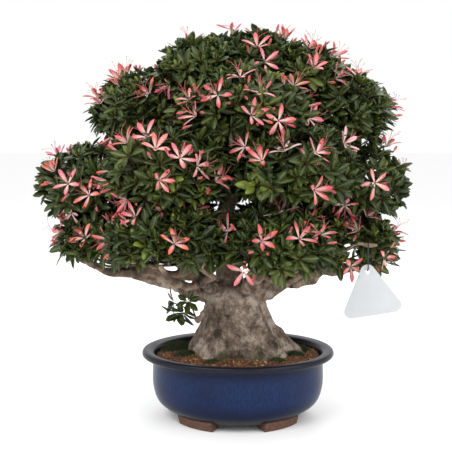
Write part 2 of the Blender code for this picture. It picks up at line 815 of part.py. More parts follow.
def make_tie(finish):
    """The thin closed tie that goes round the twig and through the tag's hole."""
    low = TAG_HOLE_Z + TAG_HOLE_RADIUS - TIE_RADIUS - TIE_GAP + TIE_BEND
    high = TAG_TWIG_Z
    centres = []
    for step in range(7):
        turn = math.pi + math.pi * step / 6
        centres.append(Vector((0, TIE_BEND * math.cos(turn), low + TIE_BEND * math.sin(turn))))
    for step in range(7):
        turn = math.pi * step / 6
        centres.append(Vector((0, TIE_BEND * math.cos(turn), high + TIE_BEND * math.sin(turn))))
    sides = 5
    points = []
    count = len(centres)
    for index, centre in enumerate(centres):
        along = (centres[(index + 1) % count] - centres[index - 1]).normalized()
        beside = along.cross(Vector((1, 0, 0)))
        for side in range(sides):
            turn = math.tau * side / sides
            offset = Vector((1, 0, 0)) * math.cos(turn) + beside * math.sin(turn)
            points.append(centre + offset * TIE_RADIUS + Vector((TAG_X, TAG_Y, 0)))
    faces = []
    for ring in range(count):
        for side in range(sides):
            a = ring * sides + side
            b = ring * sides + (side + 1) % sides
            c = ((ring + 1) % count) * sides
            faces.append((a, b, c + b % sides, c + a % sides))
    return mesh_object("tag_tie", points, faces, finish)


def main():
    for item in list(bpy.data.objects):
        bpy.data.objects.remove(item)
    glaze = material("blue_glaze", (0.035, 0.055, 0.16), 0.25)
    earth = material("granular_soil", (0.30, 0.15, 0.085), 0.95)
    bark = material("bark", (0.36, 0.30, 0.25), 0.85)
    leaf = material("leaf", (0.06, 0.13, 0.04), 0.45)
    petal = material("petal", (0.80, 0.26, 0.25), 0.6)
    plastic = material("white_plastic", (0.88, 0.90, 0.90), 0.4)
    black = material("black_tie", (0.02, 0.02, 0.02), 0.6)
    net = material("screen_plastic", (0.05, 0.05, 0.05), 0.6)
    make_pot(glaze)
    make_drain_screen("drain_screen_left", -1, net)
    make_drain_screen("drain_screen_right", 1, net)
    soil = make_soil(earth)
    combine(soil, [make_root_cutter()], "DIFFERENCE")
    wood = make_wood(bark)
    tag = make_tag(plastic)
    tie = make_tie(black)
    make_sprays(wood, [tag, tie], leaf, petal)


main()
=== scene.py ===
import math
import random
from collections import namedtuple

import bmesh
import bpy
import numpy as np
from bpy.props import FloatProperty, FloatVectorProperty, IntProperty, PointerProperty
from mathutils import Matrix, Vector, noise


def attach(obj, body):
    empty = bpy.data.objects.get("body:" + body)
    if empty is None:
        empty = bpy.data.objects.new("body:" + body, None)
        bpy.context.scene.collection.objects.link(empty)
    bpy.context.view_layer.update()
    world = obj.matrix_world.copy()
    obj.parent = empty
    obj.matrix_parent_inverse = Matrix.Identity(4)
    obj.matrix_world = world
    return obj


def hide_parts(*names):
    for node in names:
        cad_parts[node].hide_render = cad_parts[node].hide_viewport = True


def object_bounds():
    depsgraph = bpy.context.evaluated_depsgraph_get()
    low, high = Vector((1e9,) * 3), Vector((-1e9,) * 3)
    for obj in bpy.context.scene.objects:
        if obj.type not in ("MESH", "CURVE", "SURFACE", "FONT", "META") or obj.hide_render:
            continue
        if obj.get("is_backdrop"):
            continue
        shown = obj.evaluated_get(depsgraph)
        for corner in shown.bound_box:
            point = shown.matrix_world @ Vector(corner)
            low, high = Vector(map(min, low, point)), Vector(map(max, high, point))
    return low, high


bl_info = {
    "name": "Satsuki Azalea Bonsai",
    "version": (1, 0, 0),
    "blender": (4, 5, 0),
    "location": "View3D > Sidebar > Bonsai",
    "description": "Dresses a packed azalea bonsai with bark, leaves, blooms, glaze, soil and moss",
    "category": "Add Mesh",
}

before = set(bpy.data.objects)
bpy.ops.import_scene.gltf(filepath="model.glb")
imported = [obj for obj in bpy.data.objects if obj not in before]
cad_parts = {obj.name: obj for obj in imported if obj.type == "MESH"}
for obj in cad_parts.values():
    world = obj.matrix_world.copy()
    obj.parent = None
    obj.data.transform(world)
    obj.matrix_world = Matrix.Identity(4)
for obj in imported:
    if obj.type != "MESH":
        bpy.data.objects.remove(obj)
CAD_BOX = [Vector(corner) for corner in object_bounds()]
BODY = "root"

Pad = namedtuple("Pad", "name centre radii fork limb_radius blooms")
# Each pad of foliage: name, centre, half sizes, height where its limb leaves the leader,
# radius of the limb there, and the flowers on the sides that the front view doesn't show
PADS = (
    Pad("crown_left", (-0.032, -0.010, 0.566), (0.074, 0.096, 0.056), 0.50, 0.009, 3),
    Pad("crown_top", (0.042, 0.010, 0.577), (0.074, 0.100, 0.057), 0.51, 0.009, 4),
    Pad("crown_right", (0.120, 0.000, 0.557), (0.074, 0.092, 0.056), 0.50, 0.009, 3),
    Pad("shoulder_left", (-0.130, 0.000, 0.508), (0.080, 0.090, 0.063), 0.40, 0.010, 4),
    Pad("shoulder_right", (0.188, 0.000, 0.508), (0.080, 0.090, 0.063), 0.40, 0.010, 4),
    Pad("shoulder_front", (0.028, -0.118, 0.504), (0.100, 0.080, 0.063), 0.42, 0.009, 1),
    Pad("shoulder_back", (0.035, 0.128, 0.504), (0.105, 0.085, 0.063), 0.42, 0.009, 6),
    Pad("middle_left", (-0.203, -0.005, 0.390), (0.095, 0.098, 0.062), 0.27, 0.013, 5),
    Pad("middle_front_left", (-0.082, -0.142, 0.420), (0.092, 0.085, 0.062), 0.29, 0.011, 1),
    Pad("middle_front_right", (0.098, -0.146, 0.424), (0.092, 0.085, 0.062), 0.30, 0.011, 1),
    Pad("middle_right", (0.199, -0.005, 0.394), (0.092, 0.098, 0.064), 0.27, 0.013, 5),
    Pad("middle_back_left", (-0.095, 0.148, 0.406), (0.096, 0.088, 0.066), 0.29, 0.011, 6),
    Pad("middle_back_right", (0.105, 0.148, 0.410), (0.096, 0.088, 0.066), 0.30, 0.011, 6),
    Pad("lower_left", (-0.180, -0.025, 0.305), (0.088, 0.093, 0.052), 0.205, 0.017, 5),
    Pad("lower_front_left", (-0.083, -0.160, 0.318), (0.085, 0.072, 0.050), 0.215, 0.013, 1),
    Pad("lower_front_right", (0.074, -0.163, 0.311), (0.085, 0.072, 0.050), 0.215, 0.013, 1),
    Pad("lower_right", (0.186, -0.025, 0.297), (0.090, 0.093, 0.056), 0.205, 0.017, 5),
    Pad("lower_back_left", (-0.100, 0.142, 0.303), (0.094, 0.086, 0.054), 0.21, 0.014, 6),
    Pad("lower_back_right", (0.108, 0.142, 0.301), (0.094, 0.086, 0.054), 0.21, 0.014, 6),
)
SPRIG = Pad("trunk_sprig", (-0.062, -0.040, 0.196), (0.030, 0.026, 0.026), 0.222, 0.007, 0)

# The front view, and the places of the flowers that it shows, in its pixels
VIEW_EYE = Vector((0.002, -1.5, 0.49))
VIEW_PITCH = math.radians(6.4)
VIEW_FOCAL = 909.0
VIEW_SIZE = 452.0
VIEW_MIDDLE = VIEW_SIZE / 2
SENSOR_MM = 36.0
FLOOR_REACH = 14.0
# Lights: name, place, size and share of the main light's power
LIGHTS = (
    ("key_light", (-1.1, -1.5, 2.0), 1.6, 1.0),
    ("fill_light", (1.5, -1.3, 1.3), 1.8, 0.5),
    ("back_light", (0.3, 1.6, 1.9), 1.6, 0.6),
)
LIGHT_AIM = Vector((0, 0, 0.35))
NEAREST_DEPTH = 1.2
DEPTH_STEP = 0.003
DEPTH_STEPS = 150
FRONT_BLOOMS = (
    (231, 29), (284, 40), (257, 47), (307, 49), (264, 62), (313, 69), (240, 77), (293, 86),
    (334, 79), (356, 76), (259, 93), (150, 94), (170, 84), (190, 100), (218, 95), (173, 118),
    (101, 104), (122, 80), (196, 116), (251, 115), (278, 121), (308, 118), (112, 137), (128, 143),
    (147, 137), (156, 149), (180, 158), (197, 166), (245, 147), (262, 161), (285, 151), (316, 153),
    (216, 182), (159, 180), (107, 181), (68, 184), (54, 172), (89, 195), (71, 213), (111, 226),
    (84, 238), (59, 232), (135, 217), (160, 211), (196, 211), (226, 213), (228, 232), (174, 244),
    (244, 271), (262, 241), (281, 213), (300, 239), (321, 235), (359, 231), (367, 217), (352, 267),
    (386, 257), (375, 183), (314, 190), (386, 146), (127, 199), (345, 205),
)
BLOOM_SKIN = 1.04
BLOOM_SPACING = 0.050
LOWEST_BLOOM = -0.15
FRONT_NORMAL = -0.35
BURIED = 0.80

# Pot
POT_CENTRE_X = 0.022
POT_RINGS = (
    (0.108, 0.097, 0.012),
    (0.133, 0.110, 0.028),
    (0.143, 0.116, 0.056),
    (0.1435, 0.1165, 0.094),
    (0.149, 0.121, 0.103),
    (0.159, 0.130, 0.105),
    (0.161, 0.132, 0.110),
    (0.157, 0.129, 0.115),
    (0.146, 0.117, 0.1135),
    (0.1395, 0.1115, 0.104),
    (0.137, 0.110, 0.060),
    (0.120, 0.099, 0.030),
)
POT_FLOOR = 0.022
POT_FLOOR_INSET = 0.016
FOOT_ANGLES = (28, 68)
FOOT_OUTER = (0.110, 0.101)
FOOT_INNER = (0.088, 0.079)
FOOT_TOP = 0.0165
FOOT_STEPS = 14
FOOT_FLARE = 0.0035
FOOT_DISH = 0.002
FOOT_EASE = 0.0012
DRAIN_CUT = 0.004
DRAIN_HOLE_X = 0.052
DRAIN_HOLE_RADIUS = 0.012

# Soil
SOIL_EDGE = 0.1035
SOIL_MOUND = 0.0075
BED_INSET = 0.0012
BED_FOOT_INSET = 0.017
BED_FOOT_RISE = 0.0018
BED_DROP = 0.001
BED_SHARES = (0.9, 0.78, 0.6, 0.4, 0.2)
# Half widths of the soil's surface, which are those of the pot's inside there
SOIL_REACH = POT_RINGS[9][:2]
GRANULE_INSET = 0.003
ROW_SHARE = 0.87
YELLOW_SHARE = 0.05
# Patches of moss: middle, reach and rise
MOSS_PATCHES = (
    (-0.080, 0.026, 0.031, 0.016),
    (-0.066, -0.020, 0.020, 0.005),
    (0.118, -0.018, 0.016, 0.005),
    (0.128, 0.020, 0.018, 0.009),
    (-0.020, -0.068, 0.012, 0.003),
    (0.086, -0.058, 0.012, 0.003),
    (0.030, 0.085, 0.030, 0.006),
)
MOSS_TUFTS = 30000
MOSS_FLATTEN = 0.8
MOSS_FILL = 0.8
MOSS_SINK = 0.001
MOSS_EDGE_DROP = 0.003
MOSS_SIDES = 20

# Trunk and leader, as in the frame
TRUNK_RINGS = (
    (0.092, 0.094, 0.066, 0.030),
    (0.108, 0.092, 0.064, 0.030),
    (0.120, 0.085, 0.058, 0.028),
    (0.138, 0.073, 0.052, 0.024),
    (0.162, 0.058, 0.046, 0.020),
    (0.186, 0.049, 0.041, 0.018),
    (0.210, 0.047, 0.037, 0.015),
    (0.226, 0.040, 0.031, 0.014),
)
TRUNK_CENTRE_Y = 0.006
FLUTES = ((5, 0.045, 0.4), (9, 0.025, 1.9))
ROOT_REACH = 0.020
ROOT_COUNT = 6
ROOT_FADE = 0.016
LEADER = (
    (0.014, 0.006, 0.195, 0.028),
    (0.004, 0.006, 0.255, 0.021),
    (-0.006, 0.012, 0.320, 0.016),
    (0.018, 0.004, 0.390, 0.013),
    (0.034, 0.008, 0.460, 0.011),
    (0.030, 0.004, 0.530, 0.009),
)
LIMB_TIP = 0.0065
SPRIG_TIP = 0.004
LIMB_DROP = 0.80
LIMB_INSET = 0.55
LIMB_GNARL = 0.03
LIMB_LEAD = 0.40
LIMB_RUN_IN = 0.35
LIMB_LAST = 0.12
LOW_FORK = 0.23
SHOULDER = 0.018
LOW_START = (0.85, 0.10)
HIGH_START = (0.70, 0.35)
UP = Vector((0, 0, 1))

# Hollows in the trunk's bark: middle, reach and depth
DENTS = (
    ((-0.024, -0.030, 0.187), 0.0090, 0.0070),
    ((0.006, -0.045, 0.162), 0.0060, 0.0030),
    ((0.048, -0.040, 0.150), 0.0130, 0.0020),
    ((-0.030, -0.048, 0.122), 0.0140, 0.0020),
)
BARK_FADE_TOP = 0.235
BARK_FADE = 0.03

# Rosettes: how deep in a pad, and how far apart and from the flowers
ROSETTE_DEPTHS = (0.97, 0.93, 0.86, 0.72)
OUTER_DEPTH = 0.8
OUTER_SPACING = 0.0135
INNER_SPACING = 0.011
BLOOM_CLEARANCE = 0.016
LOWEST_ROSETTE = -0.80
LOWEST_UNDER = -0.68
ROSETTE_BURIED = 0.70
YOUNG_SHARE = 0.11
YOUNG_SHARE_LOW = 0.26
SHOOTS = 20
SHOOTS_LOW = 34
SHOOT_RADII = (0.0011, 0.0009, 0.0007)
BRANCH_RADII = (0.0034, 0.0012)
SPRIG_RADII = (0.0016, 0.0013, 0.001)
SPRIG_WAYS = ((-1, -0.3, 0.3), (-0.3, -0.8, -0.5), (-0.7, 0.2, -0.7), (0.1, -0.9, 0.5))

# Flowers: how far the petals' foot is behind the middle, the tones of petals and buds, the
# width of a bud as a share of a petal's, and the sizes of the threads
BLOOM_FOOT = 0.004
BLOOM_TONES = (0.02, 0.08, 0.15, 0.25, 0.35, 0.45, 0.58, 0.66, 0.78, 0.82, 0.92)
BUD_TONES = (0.02, 0.10, 0.22, 0.35, 0.80)
BUD_WIDTH = 0.62
STAMEN_LENGTH = 0.020
PISTIL_LENGTH = 0.026
STAMEN_RISE = 0.002
STAMEN_RADIUS = 0.00026
STAMEN_CLEARANCE = 0.003

# Tag and its tie
TAG_X = 0.2184
TAG_Y = -0.128
TAG_HOLE_Z = 0.2652
TAG_SIDE = 0.086
TAG_CORNER = 0.011
TAG_THICK = 0.0012
TAG_HOLE_RADIUS = 0.0036
TAG_HOLE_DROP = 0.001
TAG_EASE = 0.0003
TAG_TURN = math.radians(-9)
# Room kept free of leaves: to each side of the tag, behind it and above its twig
TAG_ROOM = (0.062, 0.028, 0.004)
TIE_RADIUS = 0.0009
TIE_BEND = 0.0042
TIE_GAP = 0.0006
TAG_TWIG_Z = 0.3065
TAG_TWIG_RADIUS = 0.0026
TAG_TWIG_ROOT = 0.012
TAG_TWIG_ELBOW = (0.020, -0.045, 0.012)
TAG_TWIG_RISE = (-0.022, 0.004, -0.001)
TAG_TWIG_END = 0.014
TAG_TWIG_RADII = (0.004, 0.0034, TAG_TWIG_RADIUS, TAG_TWIG_RADIUS, 0.0022)


# Settings

class LeafSettings(bpy.types.PropertyGroup):
    """Sizes, number and colours of the leaves."""

    length: FloatProperty(name="Length", description="Length of a full leaf",
                          default=0.0285, unit="LENGTH")
    width: FloatProperty(name="Width", description="Width of a full leaf",
                         default=0.0120, unit="LENGTH")
    rosettes: IntProperty(name="Rosettes", description="Leaf rosettes on each pad", default=148)
    dark: FloatVectorProperty(name="Dark green", description="Old leaves in the shade",
                              subtype="COLOR", default=(0.019, 0.033, 0.008))
    light: FloatVectorProperty(name="Light green", description="Young leaves",
                               subtype="COLOR", default=(0.145, 0.185, 0.026))


class BloomSettings(bpy.types.PropertyGroup):
    """Sizes and colours of the flowers."""

    petal_length: FloatProperty(name="Petal length", description="Length of a strap petal",
                                default=0.0255, unit="LENGTH")
    petal_width: FloatProperty(name="Petal width", description="Width at its broadest",
                               default=0.0070, unit="LENGTH")
    tip: FloatVectorProperty(name="Tip", description="Colour of the petal's tip",
                             subtype="COLOR", default=(0.76, 0.115, 0.115))
    base: FloatVectorProperty(name="Base", description="Colour of the petal's base",
                              subtype="COLOR", default=(0.84, 0.56, 0.50))


class WoodSettings(bpy.types.PropertyGroup):
    """Colours and fineness of the bark."""

    voxel: FloatProperty(name="Fineness", description="Size of the bark's facets",
                         default=0.0027, unit="LENGTH")
    pale: FloatVectorProperty(name="Pale bark", description="Weathered ridges",
                              subtype="COLOR", default=(0.225, 0.163, 0.120))
    dark: FloatVectorProperty(name="Dark bark", description="Hollows and upper limbs",
                              subtype="COLOR", default=(0.036, 0.024, 0.016))


class PotSettings(bpy.types.PropertyGroup):
    """Colours of the glaze, clay, soil and moss."""

    glaze: FloatVectorProperty(name="Glaze", description="Blue of the pot's side",
                               subtype="COLOR", default=(0.0040, 0.0125, 0.050))
    lip: FloatVectorProperty(name="Lip", description="Dark glaze on the lip",
                             subtype="COLOR", default=(0.004, 0.005, 0.012))
    clay: FloatVectorProperty(name="Clay", description="Unglazed feet",
                              subtype="COLOR", default=(0.100, 0.047, 0.030))
    soil: FloatVectorProperty(name="Soil", description="Reddish granules",
                              subtype="COLOR", default=(0.25, 0.108, 0.050))
    grain: FloatProperty(name="Grain", description="Spacing of the soil's granules",
                         default=0.0034, unit="LENGTH")


class StageSettings(bpy.types.PropertyGroup):
    """Light and ground."""

    key: FloatProperty(name="Key light", description="Power of the main light, in watts",
                       default=38.0)
    ground: FloatVectorProperty(name="Ground", description="Colour of floor and backdrop",
                                subtype="COLOR", default=(0.96, 0.96, 0.96))


# Meshes

def new_object(name, points, faces, finish=None):
    """A smooth mesh object from arrays or lists of points and faces."""
    mesh = bpy.data.meshes.new(name)
    mesh.from_pydata([tuple(p) for p in points], [], [tuple(f) for f in faces])
    mesh.shade_smooth()
    item = bpy.data.objects.new(name, mesh)
    bpy.context.scene.collection.objects.link(item)
    if finish:
        mesh.materials.append(finish)
    return item


def block_mesh(name, points, faces, data, finish):
    """A smooth triangle mesh from arrays, with a colour-like attribute on its points."""
    mesh = bpy.data.meshes.new(name)
    mesh.vertices.add(len(points))
    mesh.vertices.foreach_set("co", np.asarray(points, np.float32).ravel())
    mesh.loops.add(len(faces) * 3)
    mesh.loops.foreach_set("vertex_index", np.asarray(faces, np.int32).ravel())
    mesh.polygons.add(len(faces))
    mesh.polygons.foreach_set("loop_start", np.arange(0, len(faces) * 3, 3, dtype=np.int32))
    mesh.update(calc_edges=True)
    mesh.validate()
    layer = mesh.color_attributes.new("shade", "FLOAT_COLOR", "POINT")
    layer.data.foreach_set("color", np.asarray(data, np.float32).ravel())
    mesh.shade_smooth()
    mesh.materials.append(finish)
    item = bpy.data.objects.new(name, mesh)
    bpy.context.scene.collection.objects.link(item)
    return item


def settle(item, *nodes):
    """Let a piece ride on the only body and stand for its nodes."""
    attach(item, BODY)
    if nodes:
        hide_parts(*nodes)
    return item


def ring_faces(rings, sides, loop=False):
    """Faces between rings of points, closed at both ends unless the rings form a loop."""
    faces = []
    if not loop:
        faces = [tuple(reversed(range(sides))), tuple(range((rings - 1) * sides, rings * sides))]
    for ring in range(rings if loop else rings - 1):
        after = (ring + 1) % rings * sides
        for side in range(sides):
            a = ring * sides + side
            b = ring * sides + (side + 1) % sides
            faces.append((a, b, after + (side + 1) % sides, after + side))
    return faces


def fans(faces):
    """Faces of any size cut into triangles from their first corners."""
    return [(face[0], face[i], face[i + 1]) for face in faces for i in range(1, len(face) - 1)]


def oval_points(rows, steps):
    """Rings of points round the pot's middle, from rows of two half widths and a height."""
    points = []
    for half_x, half_y, height in rows:
        for step in range(steps):
            turn = math.tau * step / steps
            points.append((POT_CENTRE_X + half_x * math.cos(turn), half_y * math.sin(turn), height))
    return points


def tube_points(route, radii, sides):
    """Rings of points round a route."""
    count = len(route)
    points = []
    across = None
    for index, centre in enumerate(route):
        along = (route[min(index + 1, count - 1)] - route[max(index - 1, 0)]).normalized()
        if across is None:
            across = along.orthogonal().normalized()
        across = (across - along * across.dot(along)).normalized()
        beside = along.cross(across)
        for side in range(sides):
            turn = math.tau * side / sides
            points.append(centre + (across * math.cos(turn) + beside * math.sin(turn)) * radii[index])
    return points


def add_tube(points, faces, route, radii, sides):
    """Add a closed tube round a route to lists of points and faces."""
    first = len(points)
    points += tube_points(route, radii, sides)
    faces += [tuple(first + index for index in face) for face in ring_faces(len(route), sides)]


def face_outward(item):
    """Turn all faces of a closed piece outward."""
    shell = bmesh.new()
    shell.from_mesh(item.data)
    bmesh.ops.recalc_face_normals(shell, faces=shell.faces)
    shell.to_mesh(item.data)
    shell.free()


def evaluated_mesh(item):
    """The mesh of a piece with its modifiers worked in."""
    bpy.context.view_layer.update()
    seen = item.evaluated_get(bpy.context.evaluated_depsgraph_get())
    mesh = bpy.data.meshes.new_from_object(seen)
    item.modifiers.clear()
    return mesh


def smooth_values(rows, per_step):
    """Points on a smooth curve through rows of numbers."""
    rows = [np.array(row, float) for row in rows]
    result = []
    for index in range(len(rows) - 1):
        before = rows[max(index - 1, 0)]
        start, end = rows[index], rows[index + 1]
        after = rows[min(index + 2, len(rows) - 1)]
        for step in range(per_step):
            t = step / per_step
            result.append(0.5 * (2 * start + (end - before) * t
                                 + (2 * before - 5 * start + 4 * end - after) * t * t
                                 + (3 * start - before - 3 * end + after) * t ** 3))
    result.append(rows[-1])
    return result


# Materials

def finish_nodes(name):
    """A new material with its shader and node tree."""
    finish = bpy.data.materials.new(name)
    finish.use_nodes = True
    tree = finish.node_tree
    return finish, tree, tree.nodes["Principled BSDF"]


def link(tree, start, end):
    """Join two sockets."""
    tree.links.new(start, end)


def object_place(tree, scale=(1, 1, 1)):
    """Place on the object, stretched."""
    place = tree.nodes.new("ShaderNodeTexCoord")
    stretch = tree.nodes.new("ShaderNodeMapping")
    stretch.inputs["Scale"].default_value = scale
    link(tree, place.outputs["Object"], stretch.inputs["Vector"])
    return stretch.outputs["Vector"]


def noise_value(tree, scale, detail=4.0, rough=0.6, stretch=(1, 1, 1)):
    """A cloudy value from 0 to 1."""
    cloud = tree.nodes.new("ShaderNodeTexNoise")
    cloud.inputs["Scale"].default_value = scale
    cloud.inputs["Detail"].default_value = detail
    cloud.inputs["Roughness"].default_value = rough
    link(tree, object_place(tree, stretch), cloud.inputs["Vector"])
    return cloud.outputs["Fac"]


def ramp(tree, value, stops):
    """Colours along a value."""
    node = tree.nodes.new("ShaderNodeValToRGB")
    ends = node.color_ramp.elements
    ends[0].position, ends[0].color = stops[0][0], (*stops[0][1], 1)
    ends[1].position, ends[1].color = stops[-1][0], (*stops[-1][1], 1)
    for position, colour in stops[1:-1]:
        ends.new(position).color = (*colour, 1)
    link(tree, value, node.inputs["Fac"])
    return node.outputs["Color"]


def fade(tree, value, low, high):
    """A value stretched to run from 0 at low to 1 at high."""
    node = tree.nodes.new("ShaderNodeMapRange")
    node.interpolation_type = "SMOOTHSTEP"
    node.inputs["From Min"].default_value = low
    node.inputs["From Max"].default_value = high
    link(tree, value, node.inputs["Value"])
    return node.outputs["Result"]


def mix(tree, share, one, two):
    """Two colours mixed by a value or a number."""
    node = tree.nodes.new("ShaderNodeMix")
    node.data_type = "RGBA"
    for socket, value in ((node.inputs[0], share), (node.inputs[6], one), (node.inputs[7], two)):
        if isinstance(value, bpy.types.NodeSocket):
            link(tree, value, socket)
        elif isinstance(value, (int, float)):
            socket.default_value = value
        else:
            socket.default_value = (*value, 1)
    return node.outputs[2]


def combine_values(tree, kind, one, two):
    """Two values put together by a sum or a product."""
    node = tree.nodes.new("ShaderNodeMath")
    node.operation = kind
    for socket, value in zip(node.inputs, (one, two)):
        if isinstance(value, bpy.types.NodeSocket):
            link(tree, value, socket)
        else:
            socket.default_value = value
    return node.outputs[0]


def plus(tree, one, two):
    """The sum of two values."""
    return combine_values(tree, "ADD", one, two)


def times(tree, one, two):
    """The product of two values."""
    return combine_values(tree, "MULTIPLY", one, two)


def axes_of(tree, vector):
    """The three parts of a vector or colour."""
    node = tree.nodes.new("ShaderNodeSeparateXYZ")
    link(tree, vector, node.inputs[0])
    return node.outputs


def shade_parts(tree):
    """The three numbers that a piece keeps on its points."""
    node = tree.nodes.new("ShaderNodeAttribute")
    node.attribute_name = "shade"
    return axes_of(tree, node.outputs["Vector"])


def surface(tree, shader, colour, roughness):
    """Give a shader its colour and how rough it is."""
    link(tree, colour, shader.inputs["Base Color"])
    shader.inputs["Roughness"].default_value = roughness


def bump(tree, shader, height, strength, distance):
    """A raised surface from a value."""
    node = tree.nodes.new("ShaderNodeBump")
    node.inputs["Strength"].default_value = strength
    node.inputs["Distance"].default_value = distance
    link(tree, height, node.inputs["Height"])
    link(tree, node.outputs["Normal"], shader.inputs["Normal"])


def leaf_finish(look):
    """Satin green with a pale midrib, each leaf in its own shade."""
    finish, tree, shader = finish_nodes("azalea_leaf")
    own, along, across = shade_parts(tree)
    blotch = noise_value(tree, 160, 3)
    middle = tuple((d * 2 + l) / 3 for d, l in zip(look.dark, look.light))
    green = ramp(tree, own, ((0.0, tuple(look.dark)), (0.62, middle), (0.80, tuple(look.light)),
                             (1.0, (0.22, 0.26, 0.035))))
    rib = fade(tree, across, 0.16, 0.0)
    green = mix(tree, times(tree, rib, 0.45), green, (0.17, 0.21, 0.065))
    edge = fade(tree, blotch, 0.45, 0.75)
    green = mix(tree, times(tree, edge, 0.35), green, tuple(look.dark))
    root = fade(tree, along, 0.34, 0.0)
    green = mix(tree, times(tree, root, 0.6), green, (0.15, 0.075, 0.025))
    surface(tree, shader, green, 0.42)
    shader.inputs["Specular IOR Level"].default_value = 0.34
    veins = plus(tree, rib, noise_value(tree, 900, 2))
    bump(tree, shader, veins, 0.25, 0.0006)
    return finish


def petal_finish(look):
    """Soft petal, pale at its base and along its middle, coral at its tip."""
    finish, tree, shader = finish_nodes("azalea_petal")
    own, along, across = shade_parts(tree)
    tip = ramp(tree, own, ((0.0, (0.52, 0.022, 0.034)), (0.30, tuple(look.tip)),
                           (0.60, (0.72, 0.13, 0.19)), (0.80, (0.74, 0.11, 0.050)),
                           (0.92, (0.78, 0.33, 0.37)), (1.0, (0.84, 0.60, 0.57))))
    streak = noise_value(tree, 500, 3, 0.6)
    pale = fade(tree, plus(tree, along, times(tree, streak, 0.30)), 1.02, 0.34)
    centre = fade(tree, across, 0.9, 0.0)
    pale = times(tree, pale, plus(tree, times(tree, centre, 0.5), 0.5))
    colour = mix(tree, pale, tip, tuple(look.base))
    surface(tree, shader, colour, 0.55)
    shader.inputs["Sheen Weight"].default_value = 0.25
    shader.inputs["Sheen Roughness"].default_value = 0.5
    bump(tree, shader, streak, 0.2, 0.0004)
    return finish


def stamen_finish():
    """Rosy threads with darker tips."""
    finish, tree, shader = finish_nodes("azalea_stamen")
    _, along, _ = shade_parts(tree)
    colour = ramp(tree, along, ((0.0, (0.80, 0.45, 0.40)), (0.55, (0.72, 0.17, 0.18)),
                                (0.93, (0.66, 0.12, 0.13)), (0.96, (0.20, 0.09, 0.04))))
    surface(tree, shader, colour, 0.5)
    return finish


def bark_finish(look):
    """Pale weathered bark with dark blotches, brown higher up and mossy at its foot."""
    finish, tree, shader = finish_nodes("azalea_bark")
    place = axes_of(tree, object_place(tree))
    height = place[2]
    streaks = noise_value(tree, 55, 6, 0.65, (1.5, 1.5, 0.5))
    patches = noise_value(tree, 46, 8, 0.74)
    clouds = noise_value(tree, 17, 3, 0.5)
    fine = noise_value(tree, 420, 4, 0.7, (1, 1, 0.5))
    tone = plus(tree, times(tree, streaks, 0.20), times(tree, patches, 0.50))
    tone = plus(tree, tone, times(tree, clouds, 0.30))
    paler = times(tree, fade(tree, height, 0.135, 0.185), 0.018)
    tone = plus(tree, tone, plus(tree, paler, times(tree, fine, 0.20)))
    light = tuple(look.pale)
    dark = tuple(look.dark)
    half = tuple((a + b) / 2 for a, b in zip(dark, light))
    colour = ramp(tree, tone, ((0.532, dark), (0.575, half), (0.617, light),
                               (0.680, (0.48, 0.40, 0.33))))
    upper = fade(tree, height, 0.205, 0.262)
    brown = ramp(tree, tone, ((0.50, (0.028, 0.018, 0.012)), (0.60, (0.12, 0.078, 0.05)),
                              (0.70, (0.33, 0.235, 0.155))))
    colour = mix(tree, upper, colour, brown)
    speck = fade(tree, fine, 0.50, 0.72)
    colour = mix(tree, times(tree, speck, 0.5), colour, dark)
    low = fade(tree, height, 0.146, 0.104)
    moss = times(tree, fade(tree, noise_value(tree, 38, 5, 0.7), 0.50, 0.62), low)
    colour = mix(tree, moss, colour, (0.055, 0.065, 0.018))
    surface(tree, shader, colour, 0.88)
    rough = plus(tree, times(tree, fine, 0.5), streaks)
    bump(tree, shader, rough, 0.75, 0.0022)
    return finish


def twig_finish():
    """Thin dark shoots."""
    finish, tree, shader = finish_nodes("azalea_twig")
    tone = noise_value(tree, 90, 4, 0.6, (1, 1, 0.4))
    colour = ramp(tree, tone, ((0.3, (0.030, 0.019, 0.012)), (0.5, (0.085, 0.055, 0.034)),
                               (0.7, (0.20, 0.14, 0.09))))
    surface(tree, shader, colour, 0.85)
    bump(tree, shader, tone, 0.5, 0.001)
    return finish


